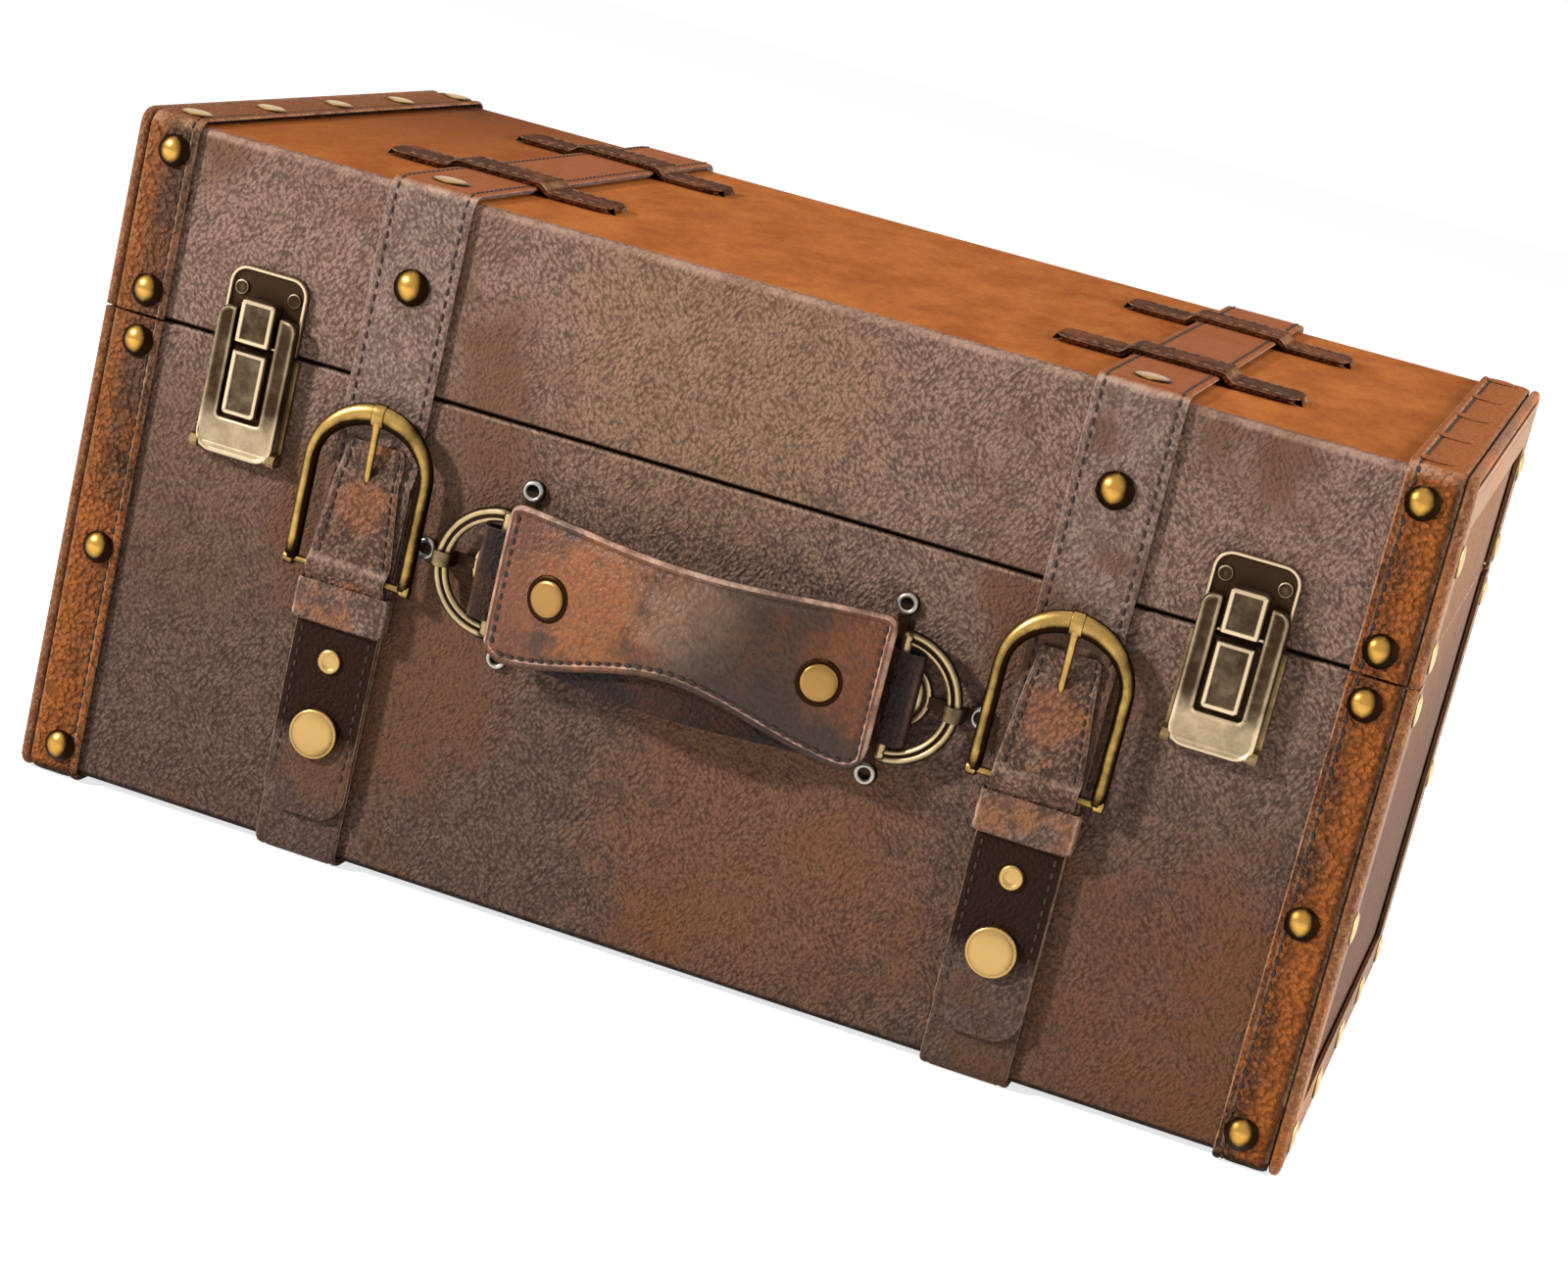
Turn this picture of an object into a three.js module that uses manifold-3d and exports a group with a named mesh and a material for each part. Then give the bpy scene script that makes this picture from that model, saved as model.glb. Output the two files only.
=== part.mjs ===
// Suitcase-shaped keepsake box: a wooden case covered in leatherette, with a hinged lid,
// two buckled straps, two lever latches and a handle on sliding rings.
// Millimetres, +Z up, +X to the right of someone facing the front, which looks along -Y.
import * as THREE from 'three';
import { mergeVertices } from 'three/addons/utils/BufferGeometryUtils.js';
import { RoundedBoxGeometry } from 'three/addons/geometries/RoundedBoxGeometry.js';
import Module from 'manifold-3d';

// Case
const caseWidth = 360;
const caseDepth = 204;
const caseHeight = 184;
const caseEdgeRadius = 3;
const lidHeight = 52.9;
const seamGap = 0.8;
const fitGap = 0.3;
const cutOverrun = 20;

// Panels, skins and linings
const wallThickness = 6;
const panelThickness = 5;
const coverThickness = 1.2;
const rimFlangeThickness = 1;
const liningThickness = 0.8;
const topSheetThickness = 1;
const topSheetInset = 2.5;
const topSheetCornerRadius = 2;

// Leather bands over both ends, and their nails
const bandThickness = 1.4;
const bandFaceWidth = 16;
const bandSideWidth = 14;
const nailRadius = 4.5;
const nailHeight = 2.4;
const nailRimHeight = 0.4;
const nailInset = 10;
const nailSideInset = 8;
const nailTopDrop = 7.7;
const nailSideTopDrop = 20.8;
const nailSeamOffset = 7;
const nailMidRise = 65.6;
const nailBottomRise = 7.7;
const nailRowCount = 5;

// Straps and the cross loops on the lid
const strapInset = 83.5;
const strapWidth = 24;
const strapThickness = 1.8;
const strapNailRadius = 5;
const strapNailHeight = 2.8;
const strapNailDrop = 25.5;
const strapNailSetback = 10;
const strapEndDrop = 1.5;
const loopLength = 66;
const loopWidth = 19;
const loopThickness = 1.6;
const loopRamp = 3.4;
const loopFrontSetback = 53;
const loopRearSetback = 51;

// Front flaps, with each height measured up from the one before it
const flapHingeDrop = 32.9;
const flapTipRise = 10.8;
const flapTipRadius = 8;
const capRise = 23.8;
const capRadius = 7;
const capHeight = 2.6;
const capStemRadius = 3;
const discRadius = 5;
const eyeletRise = 20.3;
const eyeletRadius = 3.6;
const eyeletBoreRadius = 1.8;
const eyeletHeight = 0.8;
const keeperRise = 10.2;
const keeperHeight = 11;
const keeperThickness = 1.1;
const flapBendRise = 25.2;
const flapBendLength = 6;
const tongueThickness = 1.3;
const tongueTuck = 0.5;
const tongueWidth = 23;
const tongueFullRise = 4.9;
const tongueShoulderWidth = 17.5;
const tongueShoulderDrop = 6.6;
const tongueTopWidth = 15;
const tongueTopRise = 4.4;
const tongueHoleRadius = 2.1;
const tongueSlotLength = 7;

// Buckles
const heelBarRadius = 1.1;
const heelCoverThickness = 0.9;
const heelFoldBelow = 3.7;
const heelFoldAbove = 5.2;
const heelFoldNoseHalfHeight = 1.56;
const buckleWidth = 37;
const buckleLength = 46.8;
const buckleRailWidth = 3;
const buckleArchWidth = 5.6;
const buckleDepth = 3.2;
const prongWidth = 2.6;
const prongThickness = 1.6;
const prongReach = 22.8;

// Lever latches
const latchInset = 44;
const latchWidth = 25;
const latchPlateThickness = 1.2;
const strikeTop = 21.1;
const strikeCornerRadius = 5;
const strikeScrewX = 8.6;
const strikeScrewZ = 14.9;
const latchScrewRadius = 2.1;
const latchScrewHeight = 0.7;
const catchWidth = 10;
const catchHeight = 13.1;
const catchDepth = 5;
const catchSeamRise = 0.6;
const latchBottom = 30;
const leverTop = 10.2;
const leverThickness = 3.4;
const leverWindowWidth = 12.6;
const leverWindowBottom = 19.7;
const leverCornerRadius = 3.2;
const leverBevel = 0.9;
const leverWebThickness = 1;
const leverBlockHeight = 18.2;
const leverBlockDepth = 3.4;
const knuckleRadius = 2;
const leverLugWidth = 2.2;
const leverPinRadius = 0.8;

// Handle, with its places measured in from the straps
const handleRise = 92;
const ringLift = 5.4;
const ringBarInset = 22.5;
const ringWireRadius = 1.5;
const ringBarHalfHeight = 17.2;
const ringBendRadius = 15.9;
const ringLoopWall = 1.2;
const ringLoopSlack = 0.5;
const ringBarTravel = 2.8;
const ringLoopHeight = 25;
const gripStrapThickness = 3.2;
const gripStrapTop = 15.3;
const gripStrapBottom = 20.8;
const gripBow = 9;
const gripBowInset = 3.5;
const padRingGap = 2;
const padHalfHeight = 21.4;
const padThickness = 4;
const padTopDip = 1.6;
const padBottomDip = 11;
const padCornerRadius = 7;
const padTopCornerRadius = 3.5;
const rivetInset = 16;
const rivetHeadRadius = 5;
const rivetRingRadius = 6.4;
const rivetRingHeight = 0.7;
const rivetHeadHeight = 1.5;
const rivetShankRadius = 2.2;
const rivetTailRadius = 4;
const rivetSeatDepth = 0.5;

// Ring plates
const ringPlateThickness = 1;
const bossRadius = 9;
const bossHeight = 1.6;
const earRadius = 3.2;
const earStrapGap = 18.5;
const earBarGap = 3.4;
const earHalfSpan = 23.2;
const earScrewRadius = 2;
const earScrewHeight = 0.9;
const ringPlateArmWidth = 4;
const clipWidth = 5;
const clipWall = 1;
const clipSlack = 0.4;

// Back hinges
const hingeInset = 128;
const hingeLength = 32;
const hingeLeafHeight = 13;
const hingeLeafThickness = 1.2;
const hingeKnuckleRadius = 2.4;
const hingePinRadius = 1;
const hingeMiddleLength = 12;
const hingeScrewRadius = 2;
const hingeScrewHeight = 0.6;
const hingeScrewX = 10.5;
const hingeScrewZ = 8.5;

// Facets
const roundSteps = 16;
const smallSteps = 10;
const nailSteps = 9;
const cornerSteps = 4;
const edgeSteps = 2;
const bowSteps = 16;
const ringSides = 8;
const ringSteps = 14;

// Places worked out from the sizes above
const caseBottom = strapThickness + fitGap;
const caseTop = caseBottom + caseHeight;
const caseMiddle = (caseBottom + caseTop) / 2;
const seamZ = caseTop - lidHeight;
const lidRim = seamZ + seamGap / 2;
const baseRim = seamZ - seamGap / 2;
const halfWidth = caseWidth / 2;
const halfDepth = caseDepth / 2;
const frontY = -halfDepth;
const backY = halfDepth;
const strapOut = fitGap + strapThickness;
const flapOut = strapOut + strapOut;
const tongueOut = flapOut + tongueThickness;
const heelBarOut = flapOut + fitGap + heelBarRadius;
const hingeAxisOut = fitGap + hingeKnuckleRadius + fitGap;
const strapX = halfWidth - strapInset;
const latchX = halfWidth - latchInset;
const hingeX = halfWidth - hingeInset;
const outerEarX = strapX - earStrapGap;
const ringBarX = outerEarX - ringBarInset;
const ringPostX = ringBarX + ringBendRadius;
const earX = ringBarX - earBarGap;
const padHalfLength = ringBarX - padRingGap;
const gripBowHalfLength = padHalfLength - gripBowInset;
const rivetX = padHalfLength - rivetInset;
const flapHingeZ = caseTop - flapHingeDrop;
const flapTipZ = caseBottom + flapTipRise;
const capZ = flapTipZ + capRise;
const eyeletZ = capZ + eyeletRise;
const keeperZ = eyeletZ + keeperRise;
const heelBarZ = keeperZ + keeperHeight + fitGap + heelFoldBelow;
const flapBendBottom = heelBarZ + flapBendRise;
const flapBendTop = flapBendBottom + flapBendLength;
const strapFrontEnd = flapBendBottom - strapEndDrop;
const tongueBottomZ = keeperZ - tongueTuck;
const tongueFullZ = heelBarZ + tongueFullRise;
const tongueTopZ = flapBendTop + tongueTopRise;
const buckleTopZ = heelBarZ + buckleLength;
const tongueHoleZ = buckleTopZ - prongReach;
const handleZ = caseBottom + handleRise;

// Materials
const leatherette = surface(0x64504a, 0.6, 0);
const topLeather = surface(0xb0642c, 0.75, 0);
const bandLeather = surface(0x8a4f2a, 0.6, 0);
const strapLeather = surface(0x6b5148, 0.65, 0);
const flapLeather = surface(0x5f4840, 0.65, 0);
const gripLeather = surface(0x8d5630, 0.5, 0);
const darkLeather = surface(0x2f1d16, 0.6, 0);
const bareWood = surface(0xc9a578, 0.7, 0);
const feltLining = surface(0x7a5a3c, 0.95, 0);
const antiqueBrass = surface(0xb18a45, 0.3, 1);
const agedBronze = surface(0x8c7750, 0.35, 1);
const steel = surface(0x9a9a96, 0.35, 1);

const wasm = await Module();
wasm.setup();

const suitcase = new THREE.Group();

function surface(color, roughness, metalness) {
  return new THREE.MeshStandardMaterial({ color, roughness, metalness });
}

// A closed geometry as a solid that can be joined and cut
function solid(geometry) {
  const bare = geometry.clone();
  bare.deleteAttribute('normal');
  bare.deleteAttribute('uv');
  const merged = mergeVertices(bare);
  return new wasm.Manifold(new wasm.Mesh({
    numProp: 3,
    vertProperties: new Float32Array(merged.attributes.position.array),
    triVerts: new Uint32Array(merged.index.array),
  }));
}

function join(...solids) {
  return solids.reduce((whole, part) => whole.add(part));
}

// Puts a finished solid into a group as one named mesh
function addPiece(group, name, shape, material) {
  const { vertProperties, triVerts } = shape.getMesh();
  const geometry = new THREE.BufferGeometry();
  geometry.setAttribute('position', new THREE.BufferAttribute(vertProperties, 3));
  geometry.setIndex(new THREE.BufferAttribute(triVerts, 1));
  geometry.computeVertexNormals();
  const mesh = new THREE.Mesh(geometry, material);
  mesh.name = name;
  group.add(mesh);
}

function block(x, y, z) {
  const [width, depth, height] = [x, y, z].map(([low, high]) => high - low);
  const geometry = new THREE.BoxGeometry(width, depth, height);
  const [cx, cy, cz] = [x, y, z].map(([low, high]) => (low + high) / 2);
  return solid(geometry.translate(cx, cy, cz));
}

function extrude(outline, length) {
  return new THREE.ExtrudeGeometry(outline, {
    depth: length,
    bevelEnabled: false,
    curveSegments: cornerSteps,
  });
}

// An outline of (x, z) points, standing out of the front face from one distance to another
function frontPlate(outline, near, far) {
  return solid(extrude(outline, far - near).rotateX(Math.PI / 2).translate(0, -near, 0));
}

// An outline of (distance out, z) points, as wide as given and centred on X
function sideProfile(outline, width) {
  const geometry = extrude(outline, width).rotateX(Math.PI / 2).rotateZ(-Math.PI / 2);
  return solid(geometry.translate(width / 2, 0, 0));
}

// An outline of (x, -distance out) points, between two heights
function plan(outline, bottom, top) {
  return solid(extrude(outline, top - bottom).translate(0, 0, bottom));
}

function polygon(points) {
  return new THREE.Shape(points.map(([x, y]) => new THREE.Vector2(x, y)));
}

function circle(x, y, radius) {
  return new THREE.Shape().absarc(x, y, radius, 0, Math.PI * 2);
}

// Rectangle with its own radius at the bottom and the top corners
function roundedRectangle(left, right, bottom, top, bottomRadius, topRadius) {
  const outline = new THREE.Shape();
  outline.moveTo(left + bottomRadius, bottom);
  outline.lineTo(right - bottomRadius, bottom);
  if (bottomRadius > 0) {
    outline.absarc(right - bottomRadius, bottom + bottomRadius, bottomRadius, -Math.PI / 2, 0);
  }
  outline.lineTo(right, top - topRadius);
  if (topRadius > 0) {
    outline.absarc(right - topRadius, top - topRadius, topRadius, 0, Math.PI / 2);
  }
  outline.lineTo(left + topRadius, top);
  if (topRadius > 0) {
    outline.absarc(left + topRadius, top - topRadius, topRadius, Math.PI / 2, Math.PI);
  }
  outline.lineTo(left, bottom + bottomRadius);
  if (bottomRadius > 0) {
    outline.absarc(left + bottomRadius, bottom + bottomRadius, bottomRadius, Math.PI, Math.PI * 1.5);
  }
  return outline;
}

// A bar along X, with its axis at a distance out of the front face
function barAlongX(radius, left, right, out, z, sides) {
  const geometry = new THREE.CylinderGeometry(radius, radius, right - left, sides);
  return solid(geometry.rotateZ(Math.PI / 2).translate((left + right) / 2, -out, z));
}

// A pin that stands out of the front face
function pinOut(radius, near, far, x, z, sides) {
  const geometry = new THREE.CylinderGeometry(radius, radius, far - near, sides);
  return solid(geometry.translate(x, -(near + far) / 2, z));
}

// A domed head whose rim sits on a surface, with a foot sunk below it
function domedHead(radius, height, rim, foot, sides) {
  const shoulderShare = 0.62;
  const shoulderHeightShare = 0.84;
  const profile = [
    [0, -foot],
    [radius, -foot],
    [radius, rim],
    [radius * shoulderShare, height * shoulderHeightShare],
    [0, height],
  ];
  return new THREE.LatheGeometry(profile.map(([x, y]) => new THREE.Vector2(x, y)), sides);
}

// A domed head at a place on the case, facing along the outward direction
function placedHead(head, place, outward) {
  const turn = new THREE.Quaternion().setFromUnitVectors(new THREE.Vector3(0, 1, 0), outward);
  return solid(head.clone().applyQuaternion(turn).translate(place.x, place.y, place.z));
}

// The closed case grown by a distance on every side
function caseEnvelope(growth) {
  const sizes = [caseWidth, caseDepth, caseHeight].map((size) => size + growth * 2);
  const geometry = new RoundedBoxGeometry(...sizes, edgeSteps, caseEdgeRadius + growth);
  return solid(geometry.translate(0, 0, caseMiddle));
}

const acrossX = [-halfWidth - cutOverrun, halfWidth + cutOverrun];
const acrossY = [frontY - cutOverrun, backY + cutOverrun];
const lidRange = [lidRim, caseTop + cutOverrun];
const baseRange = [caseBottom - cutOverrun, baseRim];
const lidRegion = block(acrossX, acrossY, lidRange);
const baseRegion = block(acrossX, acrossY, baseRange);

const base = new THREE.Group();
const lid = new THREE.Group();
suitcase.add(base, lid);

// Four plywood walls under or over a panel, butted at the corners
function buildWalls(group, prefix, bottom, top) {
  const outer = coverThickness + fitGap;
  const x = halfWidth - outer;
  const y = halfDepth - outer;
  const sideY = y - wallThickness - fitGap;
  const z = [bottom, top];
  addPiece(group, `${prefix}_front_wall`, block([-x, x], [-y, -y + wallThickness], z), bareWood);
  addPiece(group, `${prefix}_back_wall`, block([-x, x], [y - wallThickness, y], z), bareWood);
  addPiece(group, `${prefix}_left_wall`, block([-x, -x + wallThickness], [-sideY, sideY], z), bareWood);
  addPiece(group, `${prefix}_right_wall`, block([x - wallThickness, x], [-sideY, sideY], z), bareWood);
}

function insideBlock(inset, z) {
  const x = halfWidth - inset;
  const y = halfDepth - inset;
  return block([-x, x], [-y, y], z);
}

function buildBaseBox() {
  const floorBottom = caseBottom + coverThickness + fitGap;
  const floorTop = floorBottom + panelThickness;
  const wallTop = baseRim - rimFlangeThickness - fitGap;
  const wallInset = coverThickness + fitGap;
  const mouthInset = wallInset + wallThickness;
  addPiece(base, 'base_floor', insideBlock(wallInset, [floorBottom, floorTop]), bareWood);
  buildWalls(base, 'base', floorTop + fitGap, wallTop);
  const skin = caseEnvelope(0)
    .intersect(baseRegion)
    .subtract(insideBlock(coverThickness, [caseBottom + coverThickness, baseRim - rimFlangeThickness]))
    .subtract(insideBlock(mouthInset, [caseMiddle, baseRim + cutOverrun]));
  addPiece(base, 'base_cover', skin, leatherette);
  const liningBottom = floorTop + fitGap;
  const lining = insideBlock(mouthInset + fitGap, [liningBottom, liningBottom + liningThickness]);
  addPiece(base, 'base_lining', lining, feltLining);
}

function buildLidBox() {
  const sheetBottom = caseTop - topSheetThickness;
  const panelTop = sheetBottom - fitGap;
  const panelBottom = panelTop - panelThickness;
  const wallBottom = lidRim + rimFlangeThickness + fitGap;
  const wallInset = coverThickness + fitGap;
  const mouthInset = wallInset + wallThickness;
  addPiece(lid, 'lid_panel', insideBlock(wallInset, [panelBottom, panelTop]), bareWood);
  buildWalls(lid, 'lid', wallBottom, panelBottom - fitGap);
  const skin = caseEnvelope(0)
    .intersect(lidRegion)
    .subtract(insideBlock(coverThickness, [lidRim + rimFlangeThickness, sheetBottom]))
    .subtract(insideBlock(mouthInset, [lidRim - cutOverrun, panelBottom]))
    .subtract(insideBlock(topSheetInset, [panelBottom, caseTop + cutOverrun]));
  addPiece(lid, 'lid_cover', skin, leatherette);
  const sheetX = halfWidth - topSheetInset - fitGap;
  const sheetY = halfDepth - topSheetInset - fitGap;
  const outline = roundedRectangle(
    -sheetX, sheetX, -sheetY, sheetY, topSheetCornerRadius, topSheetCornerRadius);
  addPiece(lid, 'lid_top_sheet', plan(outline, sheetBottom, caseTop), topLeather);
  const liningTop = panelBottom - fitGap;
  const lining = insideBlock(mouthInset + fitGap, [liningTop - liningThickness, liningTop]);
  addPiece(lid, 'lid_lining', lining, feltLining);
}

// Nail rows shared by the end bands, as distances along Y
function rowAlongDepth() {
  const first = frontY + nailSideInset;
  const pitch = (caseDepth - nailSideInset * 2) / (nailRowCount - 1);
  return Array.from({ length: nailRowCount }, (_, k) => first + pitch * k);
}

function nailedBand(side, region, window, nails) {
  const end = side * (halfWidth - bandFaceWidth);
  const beyond = side * (halfWidth + cutOverrun);
  const endRegion = block([Math.min(end, beyond), Math.max(end, beyond)], acrossY, region);
  const shell = caseEnvelope(fitGap + bandThickness)
    .subtract(caseEnvelope(fitGap))
    .intersect(endRegion)
    .subtract(window);
  const head = domedHead(nailRadius, nailHeight, nailRimHeight, bandThickness / 2, nailSteps);
  return join(shell, ...nails.map(([place, outward]) => placedHead(head, place, outward)));
}

// A band covers the front, back and top or bottom edges of one end, and frames the end face
function buildBands() {
  const out = fitGap + bandThickness;
  const windowY = [frontY + bandSideWidth, backY - bandSideWidth];
  for (const [word, side] of [['left', -1], ['right', 1]]) {
    const outerX = side * (halfWidth + out);
    const windowX = [side * halfWidth, side * (halfWidth + cutOverrun)].sort((a, b) => a - b);
    const faceX = side * (halfWidth - nailInset);
    const outward = new THREE.Vector3(side, 0, 0);
    const up = new THREE.Vector3(0, 0, 1);
    const faceNail = (z, y) => [
      new THREE.Vector3(faceX, y + Math.sign(y) * out, z),
      new THREE.Vector3(0, Math.sign(y), 0),
    ];
    const sideNail = (z, y) => [new THREE.Vector3(outerX, y, z), outward];
    const edges = [frontY, backY];
    const sideEdges = [frontY + nailSideInset, backY - nailSideInset];

    const lidFaceHeights = [caseTop - nailTopDrop, seamZ + nailSeamOffset];
    const lidSideHeights = [caseTop - nailSideTopDrop, seamZ + nailSeamOffset];
    const lidNails = [
      ...edges.flatMap((y) => lidFaceHeights.map((z) => faceNail(z, y))),
      ...sideEdges.flatMap((y) => lidSideHeights.map((z) => sideNail(z, y))),
      ...rowAlongDepth().map((y) => [new THREE.Vector3(faceX, y, caseTop + out), up]),
    ];
    const lidWindow = block(windowX, windowY, [lidRim - cutOverrun, caseTop - bandSideWidth]);
    const lidBand = nailedBand(side, lidRange, lidWindow, lidNails);
    addPiece(lid, `lid_band_${word}`, lidBand, bandLeather);

    const bottomRow = caseBottom + nailBottomRise;
    const middleRow = caseBottom + nailMidRise;
    const baseFaceHeights = [seamZ - nailSeamOffset, middleRow, bottomRow];
    const baseSideHeights = [seamZ - nailSeamOffset, middleRow];
    const baseNails = [
      ...edges.flatMap((y) => baseFaceHeights.map((z) => faceNail(z, y))),
      ...sideEdges.flatMap((y) => baseSideHeights.map((z) => sideNail(z, y))),
      ...rowAlongDepth().map((y) => sideNail(bottomRow, y)),
    ];
    const baseWindow = block(windowX, windowY, [caseBottom + bandSideWidth, baseRim + cutOverrun]);
    const baseBand = nailedBand(side, baseRange, baseWindow, baseNails);
    addPiece(base, `base_band_${word}`, baseBand, bandLeather);
  }
}

// Straps wrap the case: one over the lid, and one under the base with a steel disc let into it
function buildStraps() {
  const sleeve = caseEnvelope(strapOut).subtract(caseEnvelope(fitGap));
  const strapEndZ = flapHingeZ + fitGap / 2;
  const head = domedHead(
    strapNailRadius, strapNailHeight, nailRimHeight, strapThickness / 2, smallSteps);
  for (const [word, side] of [['left', -1], ['right', 1]]) {
    const x = side * strapX;
    const width = [x - strapWidth / 2, x + strapWidth / 2];
    const lidFront = block(acrossX, [frontY - cutOverrun, 0], [lidRim - cutOverrun, strapEndZ]);
    const frontNail = new THREE.Vector3(x, frontY - strapOut, caseTop - strapNailDrop);
    const topNail = new THREE.Vector3(x, frontY + strapNailSetback, caseTop + strapOut);
    const lidStrap = sleeve
      .intersect(block(width, acrossY, lidRange))
      .subtract(lidFront)
      .add(placedHead(head, frontNail, new THREE.Vector3(0, -1, 0)))
      .add(placedHead(head, topNail, new THREE.Vector3(0, 0, 1)));
    addPiece(lid, `lid_strap_${word}`, lidStrap, strapLeather);

    const baseFront = block(acrossX, [frontY - cutOverrun, 0], [strapFrontEnd, baseRim + cutOverrun]);
    const discSeat = pinOut(discRadius + fitGap, 0, cutOverrun, x, capZ, roundSteps)
      .translate(0, frontY, 0);
    const baseStrap = sleeve
      .intersect(block(width, acrossY, baseRange))
      .subtract(baseFront)
      .subtract(discSeat);
    addPiece(base, `base_strap_${word}`, baseStrap, strapLeather);
    const disc = pinOut(discRadius, fitGap, strapOut, x, capZ, roundSteps).translate(0, frontY, 0);
    addPiece(base, `snap_disc_${word}`, disc, steel);
  }
}

// A cross loop is sewn down at both ends and arches over the strap
function buildCrossLoops() {
  const low = fitGap;
  const high = strapOut + fitGap;
  const end = loopLength / 2;
  const crest = strapWidth / 2 + fitGap;
  const foot = crest + loopRamp;
  const under = [[-end, low], [-foot, low], [-crest, high], [crest, high], [foot, low], [end, low]];
  const over = under.map(([x, z]) => [x, z + loopThickness]).reverse();
  const arch = solid(extrude(polygon([...under, ...over]), loopWidth).rotateX(Math.PI / 2));
  const middles = [['front', frontY + loopFrontSetback], ['rear', backY - loopRearSetback]];
  for (const [word, side] of [['left', -1], ['right', 1]]) {
    for (const [place, y] of middles) {
      const placed = arch.translate(side * strapX, y + loopWidth / 2, caseTop);
      addPiece(lid, `lid_loop_${place}_${word}`, placed, strapLeather);
    }
  }
}

// One flap hangs from the lid strap: its leather, the loop sewn to it and its snap cap
function flapLeatherSolid() {
  const top = flapHingeZ - fitGap / 2;
  const strapProfile = polygon([
    [fitGap, top],
    [fitGap, flapBendTop],
    [strapOut + fitGap, flapBendBottom],
    [strapOut + fitGap, flapTipZ],
    [flapOut, flapTipZ],
    [flapOut, flapBendBottom],
    [strapOut, flapBendTop],
    [strapOut, top],
  ]);
  const half = strapWidth / 2;
  const outline = roundedRectangle(-half, half, flapTipZ, top, flapTipRadius, 0);
  const strap = sideProfile(strapProfile, strapWidth).intersect(frontPlate(outline, 0, tongueOut));

  const tongueProfile = polygon([
    [strapThickness, tongueTopZ],
    [strapThickness, flapBendTop],
    [flapOut - tongueThickness, flapBendBottom],
    [flapOut - tongueThickness, tongueBottomZ],
    [tongueOut, tongueBottomZ],
    [tongueOut, flapBendBottom],
    [strapOut + tongueThickness, flapBendTop],
    [strapOut + tongueThickness, tongueTopZ],
  ]);
  const shoulderZ = tongueTopZ - tongueShoulderDrop;
  const tongueOutline = polygon([
    [-tongueWidth / 2, tongueBottomZ],
    [tongueWidth / 2, tongueBottomZ],
    [tongueWidth / 2, tongueFullZ],
    [tongueShoulderWidth / 2, shoulderZ],
    [tongueTopWidth / 2, tongueTopZ],
    [-tongueTopWidth / 2, tongueTopZ],
    [-tongueShoulderWidth / 2, shoulderZ],
    [-tongueWidth / 2, tongueFullZ],
  ]);
  const tongue = sideProfile(tongueProfile, strapWidth).intersect(frontPlate(tongueOutline, 0, cutOverrun));

  const foldOut = heelBarOut + heelBarRadius + fitGap + heelCoverThickness;
  const foldProfile = polygon([
    [strapThickness + strapOut, heelBarZ - heelFoldBelow],
    [foldOut, heelBarZ - heelFoldNoseHalfHeight],
    [foldOut, heelBarZ + heelFoldNoseHalfHeight],
    [strapThickness + strapOut, heelBarZ + heelFoldAbove],
  ]);
  const bore = barAlongX(
    heelBarRadius + fitGap, -strapWidth, strapWidth, heelBarOut, heelBarZ, smallSteps);
  const slotBottom = tongueHoleZ - tongueHoleRadius;
  const slotTop = slotBottom + tongueSlotLength;
  const slotOutline = roundedRectangle(
    -tongueHoleRadius, tongueHoleRadius, slotBottom, slotTop, tongueHoleRadius, tongueHoleRadius);
  const hole = frontPlate(slotOutline, flapOut, cutOverrun);
  const capHole = pinOut(capStemRadius + fitGap, 0, cutOverrun, 0, capZ, roundSteps);
  const eyelet = pinOut(eyeletRadius, flapOut - eyeletHeight, flapOut + eyeletHeight, 0, eyeletZ, roundSteps);
  const eyeletBore = pinOut(eyeletBoreRadius, flapOut, cutOverrun, 0, eyeletZ, smallSteps);
  return strap
    .add(tongue)
    .add(sideProfile(foldProfile, tongueWidth))
    .add(eyelet)
    .subtract(join(bore, hole, capHole, eyeletBore));
}

function keeperSolid() {
  const innerX = strapWidth / 2 + fitGap;
  const outerX = innerX + keeperThickness;
  const back = strapOut + fitGap;
  const innerOut = tongueOut + fitGap;
  const outline = polygon([
    [-outerX, -back],
    [-outerX, -innerOut - keeperThickness],
    [outerX, -innerOut - keeperThickness],
    [outerX, -back],
    [innerX, -back],
    [innerX, -innerOut],
    [-innerX, -innerOut],
    [-innerX, -back],
  ]);
  return plan(outline, keeperZ, keeperZ + keeperHeight);
}

function snapCapSolid() {
  const rimOut = flapOut + fitGap;
  const dome = domedHead(capRadius, capHeight, capHeight / 2, 0, roundSteps);
  const head = placedHead(dome, new THREE.Vector3(0, -rimOut, capZ), new THREE.Vector3(0, -1, 0));
  const stem = pinOut(capStemRadius, strapOut + fitGap, rimOut + capHeight / 2, 0, capZ, roundSteps);
  return head.add(stem);
}

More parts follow.
